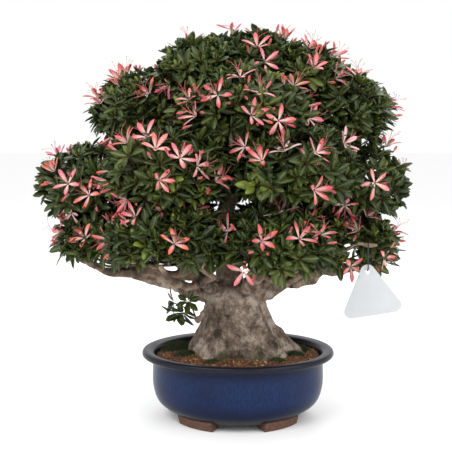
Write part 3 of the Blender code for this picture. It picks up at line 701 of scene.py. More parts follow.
def glaze_finish(look):
    """Mottled dark blue glaze, near black on the lip and greyish low on the side, with painted shade:
    a darker copy of the glaze above and below the side's middle band.
    """
    finish, tree, shader = finish_nodes("blue_glaze")
    height = axes_of(tree, object_place(tree))[2]
    runs = noise_value(tree, 380, 5, 0.65, (1, 1, 0.30))
    cloud = noise_value(tree, 9, 3, 0.5)
    speckle = noise_value(tree, 700, 3, 0.7)
    # A darker copy of the glaze: painted shade for the side under the lip and low down, where it
    # curves in.
    shaded_glaze = tuple(c * 0.55 for c in look.glaze)
    bright = (look.glaze[0] * 2.0, look.glaze[1] * 1.95, look.glaze[2] * 1.65)
    calm = tuple(c * 0.85 for c in look.glaze)
    blue = tuple(c * 1.25 for c in look.glaze)
    colour = ramp(tree, runs, ((0.34, calm), (0.5, blue), (0.66, bright)))
    # The lit, mottled glaze keeps to the side's middle band, broken by large clouds; above and below
    # it the painted shade copy shows.
    middle = times(tree, fade(tree, height, 0.026, 0.052), fade(tree, height, 0.104, 0.082))
    middle = times(tree, middle, fade(tree, cloud, 0.15, 0.62))
    colour = mix(tree, middle, shaded_glaze, colour)
    low = fade(tree, plus(tree, height, times(tree, runs, 0.008)), 0.031, 0.020)
    colour = mix(tree, low, colour, (0.022, 0.019, 0.018))
    lip = fade(tree, height, 0.099, 0.103)
    edge = ramp(tree, speckle, ((0.35, tuple(look.lip)), (0.58, (0.008, 0.009, 0.019)),
                                (0.74, (0.060, 0.044, 0.034))))
    colour = mix(tree, lip, colour, edge)
    link(tree, colour, shader.inputs["Base Color"])
    rough = tree.nodes.new("ShaderNodeMapRange")
    rough.inputs["To Min"].default_value = 0.20
    rough.inputs["To Max"].default_value = 0.42
    link(tree, speckle, rough.inputs["Value"])
    link(tree, rough.outputs["Result"], shader.inputs["Roughness"])
    shader.inputs["Specular IOR Level"].default_value = 0.15
    shader.inputs["Coat Weight"].default_value = 0.06
    shader.inputs["Coat Roughness"].default_value = 0.12
    bump(tree, shader, plus(tree, runs, speckle), 0.12, 0.0008)
    return finish


def clay_finish(look):
    """Rough unglazed stoneware."""
    finish, tree, shader = finish_nodes("bare_clay")
    tone = noise_value(tree, 240, 5, 0.7)
    dark = tuple(c * 0.5 for c in look.clay)
    light = tuple(min(c * 1.6, 1) for c in look.clay)
    surface(tree, shader, ramp(tree, tone, ((0.3, dark), (0.5, tuple(look.clay)), (0.72, light))),
            0.9)
    bump(tree, shader, tone, 0.5, 0.0008)
    return finish


def soil_finish(look):
    """Reddish-brown granules, a few yellow or dark."""
    finish, tree, shader = finish_nodes("clay_granules")
    own, _, _ = shade_parts(tree)
    base = tuple(look.soil)
    colour = ramp(tree, own, ((0.0, (0.045, 0.022, 0.014)), (0.28, tuple(c * 0.55 for c in base)),
                              (0.6, base), (0.86, (0.33, 0.16, 0.075)), (0.90, (0.50, 0.31, 0.12)),
                              (1.0, (0.56, 0.38, 0.18))))
    fine = noise_value(tree, 900, 4, 0.7)
    colour = mix(tree, times(tree, fade(tree, fine, 0.4, 0.7), 0.45),
                 colour, tuple(c * 0.3 for c in base))
    surface(tree, shader, colour, 0.95)
    bump(tree, shader, fine, 0.6, 0.0006)
    return finish


def moss_finish():
    """Dark green moss."""
    finish, tree, shader = finish_nodes("moss")
    own, along, _ = shade_parts(tree)
    colour = ramp(tree, own, ((0.0, (0.012, 0.020, 0.006)), (0.6, (0.030, 0.050, 0.012)),
                              (1.0, (0.085, 0.115, 0.022))))
    colour = mix(tree, fade(tree, along, 0.6, 0.0), colour, (0.020, 0.016, 0.008))
    surface(tree, shader, colour, 0.9)
    return finish


def plastic_finish(name, colour, rough):
    """Moulded plastic, very slightly uneven."""
    finish, tree, shader = finish_nodes(name)
    tone = noise_value(tree, 60, 3, 0.5)
    low = tuple(c * 0.94 for c in colour)
    surface(tree, shader, ramp(tree, tone, ((0.3, low), (0.7, colour))), rough)
    bump(tree, shader, noise_value(tree, 500, 2, 0.5), 0.08, 0.0003)
    return finish


def ground_finish(look):
    """Plain pale ground."""
    finish, _, shader = finish_nodes("studio_ground")
    shader.inputs["Base Color"].default_value = (*look.ground, 1)
    shader.inputs["Roughness"].default_value = 0.95
    shader.inputs["Specular IOR Level"].default_value = 0.1
    return finish


# Where things stand on the tree

def leader_at(height):
    """Where the leader is at a height."""
    for low, high in zip(LEADER, LEADER[1:]):
        if height <= high[2]:
            break
    share = min(max((height - low[2]) / (high[2] - low[2]), 0), 1)
    return Vector(low[:3]).lerp(Vector(high[:3]), share)


def outward(pad):
    """The level direction from the leader to a pad."""
    centre = Vector(pad.centre)
    way = centre - leader_at(centre.z)
    way.z = 0
    return way.normalized()


def limb_end(pad):
    """Where a pad's limb ends, inside the foot of the pad, and the way it points."""
    centre = Vector(pad.centre)
    radii = Vector(pad.radii)
    reach = min(radii.x, (centre - leader_at(centre.z)).length * 0.6)
    tip = centre - outward(pad) * reach * LIMB_INSET - UP * radii.z * LIMB_DROP
    return tip, (centre - tip).normalized()


def limb_route(pad, steps, chance):
    """A gnarled curve from the leader, or the trunk's shoulder, out to the pad."""
    start = leader_at(pad.fork)
    level, rise = HIGH_START
    if pad.fork < LOW_FORK:
        start = start + outward(pad) * SHOULDER
        level, rise = LOW_START
    tip, way = limb_end(pad)
    length = (tip - start).length
    first = start + (outward(pad) * level + UP * rise) * length * LIMB_LEAD
    second = tip - way * length * LIMB_RUN_IN
    route = []
    for step in range(steps + 1):
        t = step / steps
        s = 1 - t
        point = start * s**3 + first * 3 * s * s * t + second * 3 * s * t * t + tip * t**3
        if 0 < step < steps - 1:
            point += jitter(chance, 1) * LIMB_GNARL * length
        route.append(point)
    route[-2] = tip - way * length * LIMB_LAST
    return route


def near_tag(point):
    """True where leaves would stand in the way of the tag and its tie."""
    room_x, room_y, room_z = TAG_ROOM
    beside = abs(point.x - TAG_X) < room_x
    return beside and point.y < TAG_Y + room_y and point.z < TAG_TWIG_Z + room_z


def skin_value(pad, point):
    """Less than one inside the pad, one on its skin."""
    return math.sqrt(sum(((point[i] - pad.centre[i]) / pad.radii[i]) ** 2 for i in range(3)))


def skin_normal(pad, point):
    """The way straight out of a pad's skin at a point."""
    return Vector([(point[i] - pad.centre[i]) / pad.radii[i] ** 2 for i in range(3)]).normalized()


def front_place(px, py):
    """The pad and the point on its skin that the front view shows at a pixel."""
    pitch = VIEW_PITCH + math.atan2(py - VIEW_MIDDLE, VIEW_FOCAL)
    ray = Vector(((px - VIEW_MIDDLE) / VIEW_FOCAL, 1.0, -math.tan(pitch)))
    best = None
    nearest = None
    for pad in PADS:
        for step in range(DEPTH_STEPS):
            depth = NEAREST_DEPTH + step * DEPTH_STEP
            point = VIEW_EYE + ray * depth
            value = skin_value(pad, point) / BLOOM_SKIN
            if nearest is None or value < nearest[0]:
                nearest = (value, pad, point)
            if value <= 1:
                if best is None or depth < best[0]:
                    best = (depth, pad, point)
                break
    return (best or nearest)[1:]


def jitter(chance, size):
    """A random shift of up to a size along each axis."""
    return Vector([chance.uniform(-size, size) for _ in range(3)])


def random_way(chance):
    """A direction, all equally likely."""
    while True:
        way = jitter(chance, 1)
        if 0.1 < way.length < 1:
            return way.normalized()


def square_to(axis, turn):
    """The direction square to an axis at a turn round it."""
    across = axis.orthogonal().normalized()
    beside = axis.cross(across)
    return across * math.cos(turn) + beside * math.sin(turn)


def leaning(axis, turn, spread):
    """Outward, lengthwise and upward directions of a blade that leans away from an axis."""
    out = square_to(axis, turn)
    along = (out * math.sin(spread) + axis * math.cos(spread)).normalized()
    up = (axis * math.sin(spread) - out * math.cos(spread)).normalized()
    return out, along, up


def is_low(pad):
    """True for the pads of the lowest tier."""
    return pad.name.startswith("lower")


def random_skin_point(pad, chance, skin):
    """A point on the skin where a pad's leaves or flowers stand, with its normal."""
    way = random_way(chance)
    point = Vector([pad.centre[i] + way[i] * pad.radii[i] * skin for i in range(3)])
    return point, skin_normal(pad, point)


def buried(pad, point, limit=BURIED):
    """True if the point is well inside another pad."""
    return any(other is not pad and skin_value(other, point) < limit for other in PADS)


def bloom_places():
    """Pad, point and normal of every flower: those read from the front, then the other sides."""
    chance = random.Random(23)
    places = []
    for px, py in FRONT_BLOOMS:
        pad, point = front_place(px, py)
        places.append((pad, point, skin_normal(pad, point)))
    for pad in PADS:
        found = 0
        for _ in range(400):
            if found == pad.blooms:
                break
            point, normal = random_skin_point(pad, chance, BLOOM_SKIN)
            if normal.y < FRONT_NORMAL or normal.z < LOWEST_BLOOM or buried(pad, point):
                continue
            if all((point - other).length > BLOOM_SPACING for _, other, _ in places):
                places.append((pad, point, normal))
                found += 1
    return places


# Blades: leaves and petals as thin closed solids

def blade_template(stations, outline, thick):
    """Points (along, across, up) and triangles of a thin closed blade with a midrib."""
    points = [(0.0, 0.0, 0.0)]
    for t in stations:
        half = outline(t)
        points += [(t, -half, 0.0), (t, 0.0, 0.0), (t, half, 0.0), (t, 0.0, -thick)]
    points.append((1.0, 0.0, 0.0))
    last = len(points) - 1
    faces = [(0, 2, 1), (0, 3, 2), (0, 1, 4), (0, 4, 3)]
    for index in range(len(stations) - 1):
        a = 1 + index * 4
        b = a + 4
        for one, two in ((0, 1), (1, 2), (2, 3), (3, 0)):
            faces += [(a + one, a + two, b + two), (a + one, b + two, b + one)]
    a = 1 + (len(stations) - 1) * 4
    faces += [(a, a + 1, last), (a + 1, a + 2, last), (a + 3, a, last), (a + 2, a + 3, last)]
    return np.array(points), np.array(faces)


class BladeBatch:
    """Many blades gathered in arrays, to be one mesh."""

    def __init__(self, template):
        self.points, self.faces = template
        self.rows = []

    def add(self, base, along, up, length, width, fold, curl, own):
        """Note a blade: its base, directions, sizes, bends and own tone."""
        self.rows.append((base, along, up, length, width, fold, curl, own))

    def arrays(self):
        """Points, faces and shades of all blades."""
        base = np.array([r[0] for r in self.rows])[:, None, :]
        along = np.array([r[1] for r in self.rows])
        up = np.array([r[2] for r in self.rows])
        across = np.cross(up, along)
        across /= np.linalg.norm(across, axis=1, keepdims=True)
        up = np.cross(along, across)
        size = np.array([r[3:7] for r in self.rows])
        t = self.points[:, 0][None, :]
        side = self.points[:, 1][None, :]
        lift = self.points[:, 2][None, :]
        length, width, fold, curl = (size[:, i][:, None] for i in range(4))
        x = t * length
        y = side * width
        z = lift * width + np.abs(side) * width * fold + curl * length * (t * t - 0.25 * t)
        points = (base + x[..., None] * along[:, None, :] + y[..., None] * across[:, None, :]
                  + z[..., None] * up[:, None, :])
        count = len(self.points)
        faces = self.faces[None] + (np.arange(len(self.rows)) * count)[:, None, None]
        own = np.array([r[7] for r in self.rows])[:, None] * np.ones_like(t)
        shade = np.stack([own, np.broadcast_to(t, own.shape),
                          np.broadcast_to(np.abs(side) * 2, own.shape), np.ones_like(own)], -1)
        return points.reshape(-1, 3), faces.reshape(-1, 3), shade.reshape(-1, 4)

    def make_piece(self, name, finish, node):
        """One piece of all blades, kept inside the frame's box, that stands for a node."""
        points, faces, shade = self.arrays()
        points = keep_inside(points, len(self.points))
        settle(block_mesh(name, points, faces, shade, finish), node)


def keep_inside(points, group):
    """Shift whole groups of points that stand outside the frame's box back into it."""
    blocks = points.reshape(-1, group, 3)
    low, high = (np.array(corner) for corner in CAD_BOX)
    under = np.minimum(blocks.min(1) - low, 0)
    over = np.maximum(blocks.max(1) - high, 0)
    return (blocks - under[:, None, :] - over[:, None, :]).reshape(-1, 3)


def leaf_outline(t):
    """Half width of a leaf, broadest past its middle, as a share of its full width."""
    return 0.5 * math.sin(math.pi * t ** 1.25) ** 0.85


def petal_outline(t):
    """Half width of a strap petal, narrow at its claw and broad near its tip."""
    swell = 0.30 + 0.70 * math.sin(math.pi * min(max((t - 0.12) / 1.04, 0), 1)) ** 1.1
    return 0.5 * swell * (1 - max(t - 0.80, 0) * 3.4)


LEAF_BLADE = blade_template((0.20, 0.56, 0.86), leaf_outline, 0.035)
PETAL_BLADE = blade_template((0.06, 0.24, 0.44, 0.62, 0.80, 0.93), petal_outline, 0.10)


def add_rosette(batch, centre, axis, chance, look, scale=1.0, young=0.0):
    """Five to seven leaves round a shoot tip, with a few smaller ones in its middle."""
    start = chance.uniform(0, math.tau)
    count = chance.choice((5, 6, 6, 7))
    tone = chance.betavariate(2.0, 3.2) * 0.75 + young
    for index in range(count + 3):
        inner = index >= count
        turn = start + math.tau * index / count + chance.uniform(-0.3, 0.3)
        spread = chance.uniform(0.25, 0.60) if inner else chance.uniform(0.80, 1.40)
        out, along, up = leaning(axis, turn, spread)
        size = chance.uniform(0.38, 0.62) if inner else chance.uniform(0.78, 1.12)
        own = min(max(tone + chance.uniform(-0.12, 0.12) + (0.22 if inner else 0), 0), 1)
        base = centre + out * 0.0012 - axis * (0.0 if inner else 0.002)
        batch.add(base, along, up, look.length * size * scale, look.width * size * scale,
                  chance.uniform(0.10, 0.40), chance.uniform(-0.26, 0.10), own)


class TwigBatch:
    """Thin tapered shoots gathered as one mesh."""

    SIDES = 3

    def __init__(self):
        self.points = []
        self.faces = []

    def add(self, route, radii):
        """Add a shoot."""
        add_tube(self.points, self.faces, route, radii, self.SIDES)


# Operators

class BONSAI_OT_stage(bpy.types.Operator):
    """Camera, soft studio light, floor and white world"""

    bl_idname = "bonsai.stage"
    bl_label = "Stage"

    def execute(self, context):
        look = context.scene.bonsai_stage
        camera = bpy.data.cameras.new("front_camera")
        camera.sensor_width = SENSOR_MM
        camera.lens = VIEW_FOCAL / VIEW_SIZE * SENSOR_MM
        viewer = bpy.data.objects.new("front_camera", camera)
        viewer.location = VIEW_EYE
        viewer.rotation_euler = (math.pi / 2 - VIEW_PITCH, 0, 0)
        context.scene.collection.objects.link(viewer)
        context.scene.camera = viewer
        ground = ground_finish(look)
        make_backdrop(ground)
        for name, place, size, share in LIGHTS:
            make_light(name, place, size, look.key * share)
        world = bpy.data.worlds.new("studio")
        world.use_nodes = True
        world.node_tree.nodes["Background"].inputs["Color"].default_value = (1, 1, 1, 1)
        world.node_tree.nodes["Background"].inputs["Strength"].default_value = 1.0
        context.scene.world = world
        context.scene.view_settings.view_transform = "Standard"
        return {"FINISHED"}


def make_backdrop(finish):
    """A floor that is level all round."""
    reach = FLOOR_REACH
    points = [(-reach, -reach, 0), (reach, -reach, 0), (reach, reach, 0), (-reach, reach, 0)]
    floor = new_object("studio_floor", points, [(0, 1, 2, 3)], finish)
    floor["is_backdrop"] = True


def make_light(name, place, size, power):
    """A square soft light aimed at the tree."""
    light = bpy.data.lights.new(name, "AREA")
    light.size = size
    light.energy = power
    item = bpy.data.objects.new(name, light)
    item.location = place
    aim = LIGHT_AIM - Vector(place)
    item.rotation_euler = aim.to_track_quat("-Z", "Y").to_euler()
    bpy.context.scene.collection.objects.link(item)


class BONSAI_OT_pot(bpy.types.Operator):
    """The oval glazed pot with its lip, feet, drain holes and screens"""

    bl_idname = "bonsai.pot"
    bl_label = "Pot"

    STEPS = 144

    def execute(self, context):
        look = context.scene.bonsai_pot
        rings = smooth_values(POT_RINGS, 4)
        inner = POT_RINGS[-1]
        rings.append(np.array((inner[0] - POT_FLOOR_INSET, inner[1] - POT_FLOOR_INSET, POT_FLOOR)))
        pot = new_object("glazed_pot", oval_points(rings, self.STEPS),
                         ring_faces(len(rings), self.STEPS), glaze_finish(look))
        for side in (1, -1):
            cut_round(pot, POT_CENTRE_X + side * DRAIN_HOLE_X)
        pot.data.set_sharp_from_angle(angle=math.radians(50))
        settle(pot, "pot")
        clay = clay_finish(look)
        for number, (mirror_x, mirror_y) in enumerate(((1, 1), (1, -1), (-1, 1), (-1, -1))):
            settle(self.make_foot(f"pot_foot_{number + 1}", mirror_x, mirror_y, clay))
        net = plastic_finish("net_plastic", (0.03, 0.03, 0.03), 0.55)
        for name in ("drain_screen_left", "drain_screen_right"):
            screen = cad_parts[name]
            screen.data.materials.clear()
            screen.data.materials.append(net)
        return {"FINISHED"}

    def make_foot(self, name, mirror_x, mirror_y, finish):
        """One curved foot of bare clay, its edges eased."""
        points = []
        first, last = FOOT_ANGLES
        corners = ((FOOT_OUTER, 0.0, 0.0), (FOOT_INNER, 0.0, 0.0),
                   (FOOT_INNER, 0.0, FOOT_TOP - FOOT_DISH), (FOOT_OUTER, FOOT_FLARE, FOOT_TOP))
        for step in range(FOOT_STEPS + 1):
            turn = math.radians(first + (last - first) * step / FOOT_STEPS)
            for (half_x, half_y), flare, height in corners:
                x = POT_CENTRE_X + mirror_x * (half_x + flare) * math.cos(turn)
                points.append((x, mirror_y * (half_y + flare) * math.sin(turn), height))
        foot = new_object(name, points, ring_faces(FOOT_STEPS + 1, 4), finish)
        shell = bmesh.new()
        shell.from_mesh(foot.data)
        bmesh.ops.recalc_face_normals(shell, faces=shell.faces)
        edges = [e for e in shell.edges if e.calc_face_angle(0) > 0.6]
        bmesh.ops.bevel(shell, geom=edges, offset=FOOT_EASE, segments=2, affect="EDGES")
        shell.to_mesh(foot.data)
        shell.free()
        foot.data.shade_smooth()
        foot.data.set_sharp_from_angle(angle=math.radians(40))
        return foot


def cut_round(item, x):
    """A round hole through the pot's floor."""
    route = [Vector((x, 0, z)) for z in (DRAIN_CUT, POT_FLOOR + DRAIN_CUT)]
    cutter = new_object("cutter", tube_points(route, [DRAIN_HOLE_RADIUS] * 2, 32),
                        ring_faces(2, 32))
    face_outward(cutter)
    step = item.modifiers.new("hole", "BOOLEAN")
    step.operation = "DIFFERENCE"
    step.solver = "MANIFOLD"
    step.object = cutter
    item.data = evaluated_mesh(item)
    bpy.data.objects.remove(cutter)


class BONSAI_OT_soil(bpy.types.Operator):
    """Soil bed, its granules and the moss beside the roots"""

    bl_idname = "bonsai.soil"
    bl_label = "Soil and moss"

    STEPS = 72

    def execute(self, context):
        look = context.scene.bonsai_pot
        finish = soil_finish(look)
        settle(self.make_bed(finish), "soil")
        settle(self.make_granules(look.grain, finish))
        settle(self.make_moss())
        return {"FINISHED"}

    def make_bed(self, finish):
        """The packed soil under the loose granules, level with the pot's inside."""
        floor_x, floor_y, _ = POT_RINGS[-1]
        rows = [(floor_x - BED_FOOT_INSET, floor_y - BED_FOOT_INSET, POT_FLOOR + BED_FOOT_RISE)]
        for half_x, half_y, height in (POT_RINGS[-1], POT_RINGS[-2], POT_RINGS[-3]):
            rows.append((half_x - BED_INSET, half_y - BED_INSET, height))
        rows[-1] = (rows[-1][0], rows[-1][1], SOIL_EDGE - BED_DROP)
        top_x, top_y, _ = rows[-1]
        for share in BED_SHARES:
            rows.append((top_x * share, top_y * share, soil_height(share) - BED_DROP))
        points = oval_points(rows, self.STEPS)
        shade = np.tile((0.3, 0.5, 0.5, 1.0), (len(points), 1))
        faces = fans(ring_faces(len(rows), self.STEPS))
        return block_mesh("soil_bed", points, faces, shade, finish)

    def make_granules(self, step, finish):
        """Loose granules over the bed, each a lumpy pebble."""
        chance = random.Random(31)
        pebble = pebble_template()
        blocks, shades = [], []
        reach_x, reach_y = (reach - GRANULE_INSET for reach in SOIL_REACH)
        row = 0
        y = -reach_y
        while y < reach_y:
            x = -reach_x + (row % 2) * step / 2
            while x < reach_x:
                px = x + chance.uniform(-0.3, 0.3) * step
                py = y + chance.uniform(-0.3, 0.3) * step
                share = math.hypot(px / reach_x, py / reach_y)
                x += step
                if share > 0.995 or inside_trunk(px + POT_CENTRE_X, py, 0.004):
                    continue
                size = step * chance.uniform(0.42, 0.72)
                turn = Matrix.Rotation(chance.uniform(0, math.tau), 3, random_way(chance))
                shape = np.array(turn) @ np.diag([size, size * chance.uniform(0.7, 1), size * 0.8])
                lumps = 1 + np.array([chance.uniform(-0.2, 0.2) for _ in pebble[0]])[:, None]
                place = np.array((px + POT_CENTRE_X, py,
                                  soil_height(share) + chance.uniform(-0.0006, 0.0012)))
                blocks.append((pebble[0] * lumps) @ shape.T + place)
                own = chance.betavariate(2.4, 2.0)
                own = chance.uniform(0.9, 1) if chance.random() < YELLOW_SHARE else own * 0.86
                shades.append(np.tile((own, 0.5, 0.5, 1.0), (len(pebble[0]), 1)))
            y += step * ROW_SHARE
            row += 1
        faces = [pebble[1] + index * len(pebble[0]) for index in range(len(blocks))]
        return block_mesh("soil_granules", np.concatenate(blocks), np.concatenate(faces),
                          np.concatenate(shades), finish)

    def make_moss(self):
        """Low tufts of moss in patches beside the roots and on them."""
        chance = random.Random(37)
        batch = BladeBatch(blade_template((0.4,), lambda t: 0.5, 0.5))
        domes = []
        for cx, cy, reach, rise in MOSS_PATCHES:
            domes.append(self.moss_dome(cx, cy, reach, rise))
            for _ in range(int(reach * MOSS_TUFTS)):
                turn = chance.uniform(0, math.tau)
                far = reach * math.sqrt(chance.random())
                x = cx + far * math.cos(turn)
                y = cy + far * math.sin(turn) * MOSS_FLATTEN
                share = soil_share(x, y)
                if share > 0.97 or inside_trunk(x, y, -0.004):
                    continue
                mound = rise * (1 - (far / reach) ** 2)
                base = Vector((x, y, soil_height(share) + mound * MOSS_FILL - MOSS_SINK))
                way = (UP + jitter(chance, 0.7)).normalized()
                batch.add(base, way, way.orthogonal(), chance.uniform(0.003, 0.0055), 0.0011,
                          0.0, chance.uniform(-0.2, 0.2), chance.random())
        blocks = [batch.arrays()]
        for points, faces in domes:
            first = sum(len(block[0]) for block in blocks)
            blocks.append((points, faces + first, np.tile((0.2, 0.5, 0.5, 1), (len(points), 1))))
        points, faces, shade = (np.concatenate(parts) for parts in zip(*blocks))
        return block_mesh("moss_tufts", points, faces, shade, moss_finish())

    def moss_dome(self, cx, cy, reach, rise):
        """The low closed cushion that a patch of tufts stands on."""
        points = []
        for share in (1.0, 0.8, 0.55, 0.25):
            for side in range(MOSS_SIDES):
                turn = math.tau * side / MOSS_SIDES
                x = cx + reach * share * math.cos(turn)
                y = cy + reach * share * math.sin(turn) * MOSS_FLATTEN
                place = soil_share(x, y)
                x -= max(place - 0.96, 0) * SOIL_REACH[0] * math.copysign(1, x)
                height = soil_height(min(place, 1)) - MOSS_SINK + rise * MOSS_FILL * (1 - share ** 2)
                points.append((x, y, height - (MOSS_EDGE_DROP if share == 1.0 else 0)))
        faces = fans(ring_faces(len(points) // MOSS_SIDES, MOSS_SIDES))
        return np.array(points), np.array(faces)


def soil_share(x, y):
    """How far out on the soil a place is, from 0 at its middle to 1 at its edge."""
    return math.hypot((x - POT_CENTRE_X) / SOIL_REACH[0], y / SOIL_REACH[1])


def soil_height(share):
    """Height of the soil's surface, from its middle to its edge."""
    return SOIL_EDGE + SOIL_MOUND * min(max((1 - share) / 0.5, 0), 1)


def pebble_template():
    """A small round pebble of twenty faces."""
    shell = bmesh.new()
    bmesh.ops.create_icosphere(shell, subdivisions=1, radius=1.0)
    points = np.array([v.co[:] for v in shell.verts])
    faces = np.array([[v.index for v in face.verts] for face in shell.faces])
    shell.free()
    return points, faces


def trunk_reach(turn, height, half_x, half_y):
    """The trunk's two half widths at a turn and height."""
    flute = sum(depth * math.sin(count * turn + lag) for count, depth, lag in FLUTES)
    fade_out = math.exp(-(height - TRUNK_RINGS[0][0]) / ROOT_FADE)
    root = ROOT_REACH * fade_out * max(0.0, math.cos(ROOT_COUNT * turn + 0.5))
    return half_x * (1 + flute) + root, half_y * (1 + flute) + root


def inside_trunk(x, y, margin):
    """True if a point of the soil's surface is under the trunk's foot."""
    height, half_x, half_y, centre_x = TRUNK_RINGS[1]
    dx, dy = x - centre_x, y - TRUNK_CENTRE_Y
    turn = math.atan2(dy / half_y, dx / half_x)
    reach_x, reach_y = trunk_reach(turn, height, half_x, half_y)
    return math.hypot(dx / (reach_x + margin), dy / (reach_y + margin)) < 1


class BONSAI_OT_wood(bpy.types.Operator):
    """Root base, trunk, leader and limbs as one barky surface"""

    bl_idname = "bonsai.wood"
    bl_label = "Wood"

    SIDES = 72
    LIMB_SIDES = 12
    BRANCHES = 4
    BRANCH_STEPS = 4
    BRANCH_REACH = 0.72
    BRANCH_TIP = 0.0034

    def execute(self, context):
        look = context.scene.bonsai_wood
        points, faces = self.trunk()
        chance = random.Random(5)
        rough = random.Random(6)
        crook = random.Random(8)
        self.add_rows(points, faces, smooth_values(LEADER, 5))
        for pad in PADS + (SPRIG,):
            steps = 5 if pad.fork < 0.3 else 4
            route = limb_route(pad, steps, chance)
            tip = LIMB_TIP if pad is not SPRIG else SPRIG_TIP
            radii = [pad.limb_radius + (tip - pad.limb_radius) * i / steps
                     for i in range(steps + 1)]
            fine = smooth_values([(*p, r) for p, r in zip(route, radii)], 7)
            knotty = [(*p[:3], p[3] * (1 + rough.uniform(-0.10, 0.20))) for p in fine]
            self.add_rows(points, faces, knotty)
            if is_low(pad):
                for rows in self.side_branches(pad, fine, crook):
                    self.add_rows(points, faces, rows)
        self.add_rows(points, faces, smooth_values(tag_twig_route(), 6))
        wood = new_object("bark_surface", points, faces, None)
        self.weld(wood, look.voxel)
        self.roughen(wood.data)
        wood.data.materials.append(bark_finish(look))
        settle(wood, "trunk_and_limbs")
        return {"FINISHED"}

    def trunk(self):
        """The fluted trunk in fine rings."""
        rings = smooth_values(TRUNK_RINGS, 7)
        points = []
        for height, half_x, half_y, centre_x in rings:
            for side in range(self.SIDES):
                turn = math.tau * side / self.SIDES
                reach_x, reach_y = trunk_reach(turn, height, half_x, half_y)
                points.append((centre_x + reach_x * math.cos(turn),
                               TRUNK_CENTRE_Y + reach_y * math.sin(turn), height))
        return points, ring_faces(len(rings), self.SIDES)

    def side_branches(self, pad, limb, crook):
        """Crooked branches that leave a limb and run out just below the pad's leaves."""
        centre = Vector(pad.centre)
        for index in range(self.BRANCHES):
            start = limb[int(len(limb) * (0.45 + 0.12 * index))]
            turn = crook.uniform(0, math.tau)
            goal = centre + Vector((pad.radii[0] * self.BRANCH_REACH * math.cos(turn),
                                    pad.radii[1] * self.BRANCH_REACH * math.sin(turn),
                                    -pad.radii[2] * 0.60))
            begin = Vector(start[:3])
            rows = []
            for step in range(self.BRANCH_STEPS + 1):
                share = step / self.BRANCH_STEPS
                point = begin.lerp(goal, share)
                if 0 < step < self.BRANCH_STEPS:
                    point += random_way(crook) * 0.010 - UP * 0.006 * math.sin(math.pi * share)
                radius = start[3] * 0.80 * (1 - share) + self.BRANCH_TIP * share
                rows.append((*point, radius * crook.uniform(0.9, 1.25)))
            yield smooth_values(rows, 5)

    def add_rows(self, points, faces, rows):
        """Add a tube to the lists, from rows of its middle and radius."""
        add_tube(points, faces, [Vector(row[:3]) for row in rows], [row[3] for row in rows],
                 self.LIMB_SIDES)

    def weld(self, wood, voxel):
        """One closed surface over all the tubes."""
        step = wood.modifiers.new("weld", "REMESH")
        step.mode = "VOXEL"
        step.voxel_size = voxel
        step.use_smooth_shade = True
        wood.data = evaluated_mesh(wood)

    def roughen(self, mesh):
        """Ridges, hollows and knots in the bark, as real relief."""
        places = [vertex.co.copy() for vertex in mesh.vertices]
        normals = [vertex.normal.copy() for vertex in mesh.vertices]
        moved = []
        for place, normal in zip(places, normals):
            low = min(max((BARK_FADE_TOP - place.z) / BARK_FADE, 0), 1)
            tall = Vector((place.x * 48, place.y * 48, place.z * 15))
            ridge = noise.noise(tall) * 0.0026 * low + noise.noise(place * 34) * 0.0028 * low
            shift = ridge + noise.noise(place * 75) * 0.0020 + noise.noise(place * 210) * 0.0007
            for centre, reach, depth in DENTS:
                gap = place - Vector(centre)
                gap.z *= 0.6
                shift -= depth * math.exp(-gap.length_squared / (reach * reach))
            moved.append(place + normal * shift)
        mesh.vertices.foreach_set("co", np.array(moved, np.float32).ravel())
        mesh.update()


def tag_twig_route():
    """The low bare twig that the tag's tie goes round: its points and radii."""
    pad = next(pad for pad in PADS if pad.name == "lower_right")
    tip, way = limb_end(pad)
    loop = Vector((TAG_X, TAG_Y, TAG_TWIG_Z))
    points = (
        tip - way * TAG_TWIG_ROOT,
        tip + Vector(TAG_TWIG_ELBOW),
        loop + Vector(TAG_TWIG_RISE),
        loop,
        loop + Vector((TAG_TWIG_END, 0, 0)),
    )
    return [(*point, radius) for point, radius in zip(points, TAG_TWIG_RADII)]


